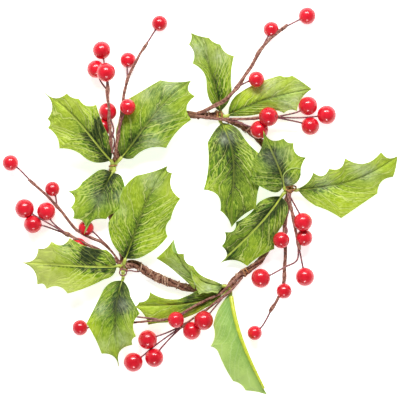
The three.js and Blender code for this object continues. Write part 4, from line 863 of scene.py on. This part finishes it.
def petiole(centre, rib):
    # A moulded stalk from inside the drum up to the leaf, which it enters under the midrib
    start, near = ribPoints(rib, [0, 0.02])
    into, drop = unit(near - start), np.array([0, 0, joint["under"]])
    before, at, inside = joint["drops"]
    path = smoothPath([centre, start - into * joint["before"] - before * drop, start - at * drop,
                       start + into * joint["intoLeaf"] - inside * drop], 0.4)
    return tube(path, np.interp(np.linspace(0, 1, len(path)), joint["petiolePlaces"], joint["petioleRadii"]), 14, 2)


def cordLoop(centre, halfLength, halfWidth, turned, seed):
    # A closed ellipse that sags at its ends and is uneven, as tied cord is
    turn = np.linspace(0, 2 * np.pi, 61)
    long, short = halfLength * np.cos(turn), halfWidth * np.sin(turn)
    lean, sway = np.cos(turned), np.sin(turned)
    sag = -joint["cordSag"] * (long**2 + short**2) / max(halfLength, halfWidth)
    line = np.array(centre) + np.stack([long * lean - short * sway, long * sway + short * lean, sag], -1)
    spread = joint["cordSpread"]
    lumps = smoothNoise(spread * np.cos(turn), spread * np.sin(turn), joint["cordCell"], seed)
    return tube(line, joint["cordRadius"] * (1 + joint["cordSwell"] * lumps), 10, 1)


stalkGreen = mouldedGreenMaterial("leaf stalk, moulded polyethylene", "#a6b93e", "#cdd766")
collarGreen = mouldedGreenMaterial("leaf collar, moulded polyethylene", "#76822f", "#a5ae4e")
drums = {"top": bark, "right": cord, "bottom": bark, "left": collarGreen, "upper": collarGreen}
for number, (pick, stretch) in enumerate(stretches.items()):
    centre = np.array([*stretch["route"][0], ring["height"]])
    along = unit(np.array([*stretch["collarAlong"], 0.0]))
    parts = [barrel(centre, along), jointWindings(centre, along, 720 + number)]
    parts += [petiole(centre, leaves[f"leaf_{pick}_{i}"]["rib"]) for i in (1, 2, 3)]
    parts += [cordLoop(*loop, 740 + number) for loop in cordLoops.get(pick, [])]
    makePiece(f"joint_{pick}", [f"collar_{pick}"], parts, [drums[pick], cord, stalkGreen])
print("joints made")


hook = {"route": [[-38.8, -46.4, 2.8], [-41.5, -47.2, 3], [-46.5, -46.5, 5], [-49, -46.8, 7.9]],
        "eyeCentre": [-51.3, -47.6, 7.9], "eyeRadius": 2.3, "eyeRise": 0.03, "wireRadius": 0.45}
turn = np.linspace(0, 2 * np.pi, 41)
circle = np.stack([np.cos(turn), np.sin(turn), hook["eyeRise"] * turn], -1)
eye = np.array(hook["eyeCentre"]) + hook["eyeRadius"] * circle
makePiece("eye_wire", ["hook_wire"],
          [tube(line, hook["wireRadius"], 10) for line in (eye, smoothPath(hook["route"], 0.4))], [bareWire])
print("hook made")


# A light table: matt white acrylic that glows a little, so that shadows stay faint
floor = {"half": 1.6, "drop": 0.0003, "colour": "#f6f6f4", "glow": 0.7}
sheet = bpy.data.meshes.new("floor")
corners = ((-1, -1), (1, -1), (1, 1), (-1, 1))
sheet.from_pydata([(x * floor["half"], y * floor["half"], -floor["drop"]) for x, y in corners], [], [(0, 1, 2, 3)])
ground = bpy.data.objects.new("floor", sheet)
bpy.context.scene.collection.objects.link(ground)
acrylic, _, fill = newMaterial("floor, glowing matt white acrylic")
fill({"Base Color": floor["colour"], "Roughness": 0.9, "Emission Color": "#ffffff", "Emission Strength": floor["glow"]})
sheet.materials.append(acrylic)

# The room: dim overhead, where the camera is, and brighter towards the horizon
studio = {"overhead": "#8c8c8c", "horizon": "#ffffff", "strength": 0.62}
world = bpy.data.worlds.new("studio")
bpy.context.scene.world = world
world.use_nodes = True
sky = world.node_tree
height = addNode(sky, "SeparateXYZ", addNode(sky, "TexCoord", out="Generated"), out=2)
room = addNode(sky, "ValToRGB", height, stops=[(0.1, studio["horizon"]), (0.75, studio["overhead"])])
fillInputs(sky, sky.nodes["Background"], {"Color": room, "Strength": studio["strength"]})

# Each lamp: place and size in metres, and power; all point at the wreath's middle
lamps = {
    "strip at the back": dict(at=(-0.05, 1.0, 1.0), size=(1.3, 0.28), power=24),
    "fill at the front": dict(at=(0.05, -1.15, 0.62), size=(0.3, 0.22), power=5),
}
for name, lamp in lamps.items():
    light = bpy.data.lights.new(name, "AREA")
    light.shape = "ELLIPSE"
    light.size, light.size_y = lamp["size"]
    light.energy = lamp["power"]
    body = bpy.data.objects.new(name, light)
    body.location = lamp["at"]
    body.rotation_euler = (-body.location).to_track_quat("-Z", "Y").to_euler()
    bpy.context.scene.collection.objects.link(body)

# Straight above, with a long lens: the frame is 266.7 mm wide at the height of the leaves
view = {"height": 2.2, "lens": 296, "sensor": 36, "middle": (0.0, 0.000667)}
lens = bpy.data.cameras.new("camera")
lens.lens, lens.sensor_width = view["lens"], view["sensor"]
camera = bpy.data.objects.new("camera", lens)
camera.location = (*view["middle"], view["height"])
bpy.context.scene.collection.objects.link(camera)
bpy.context.scene.camera = camera
bpy.context.scene.view_settings.view_transform = "Standard"
bpy.context.scene.view_settings.look = "None"
print("stage, lights and camera ready")
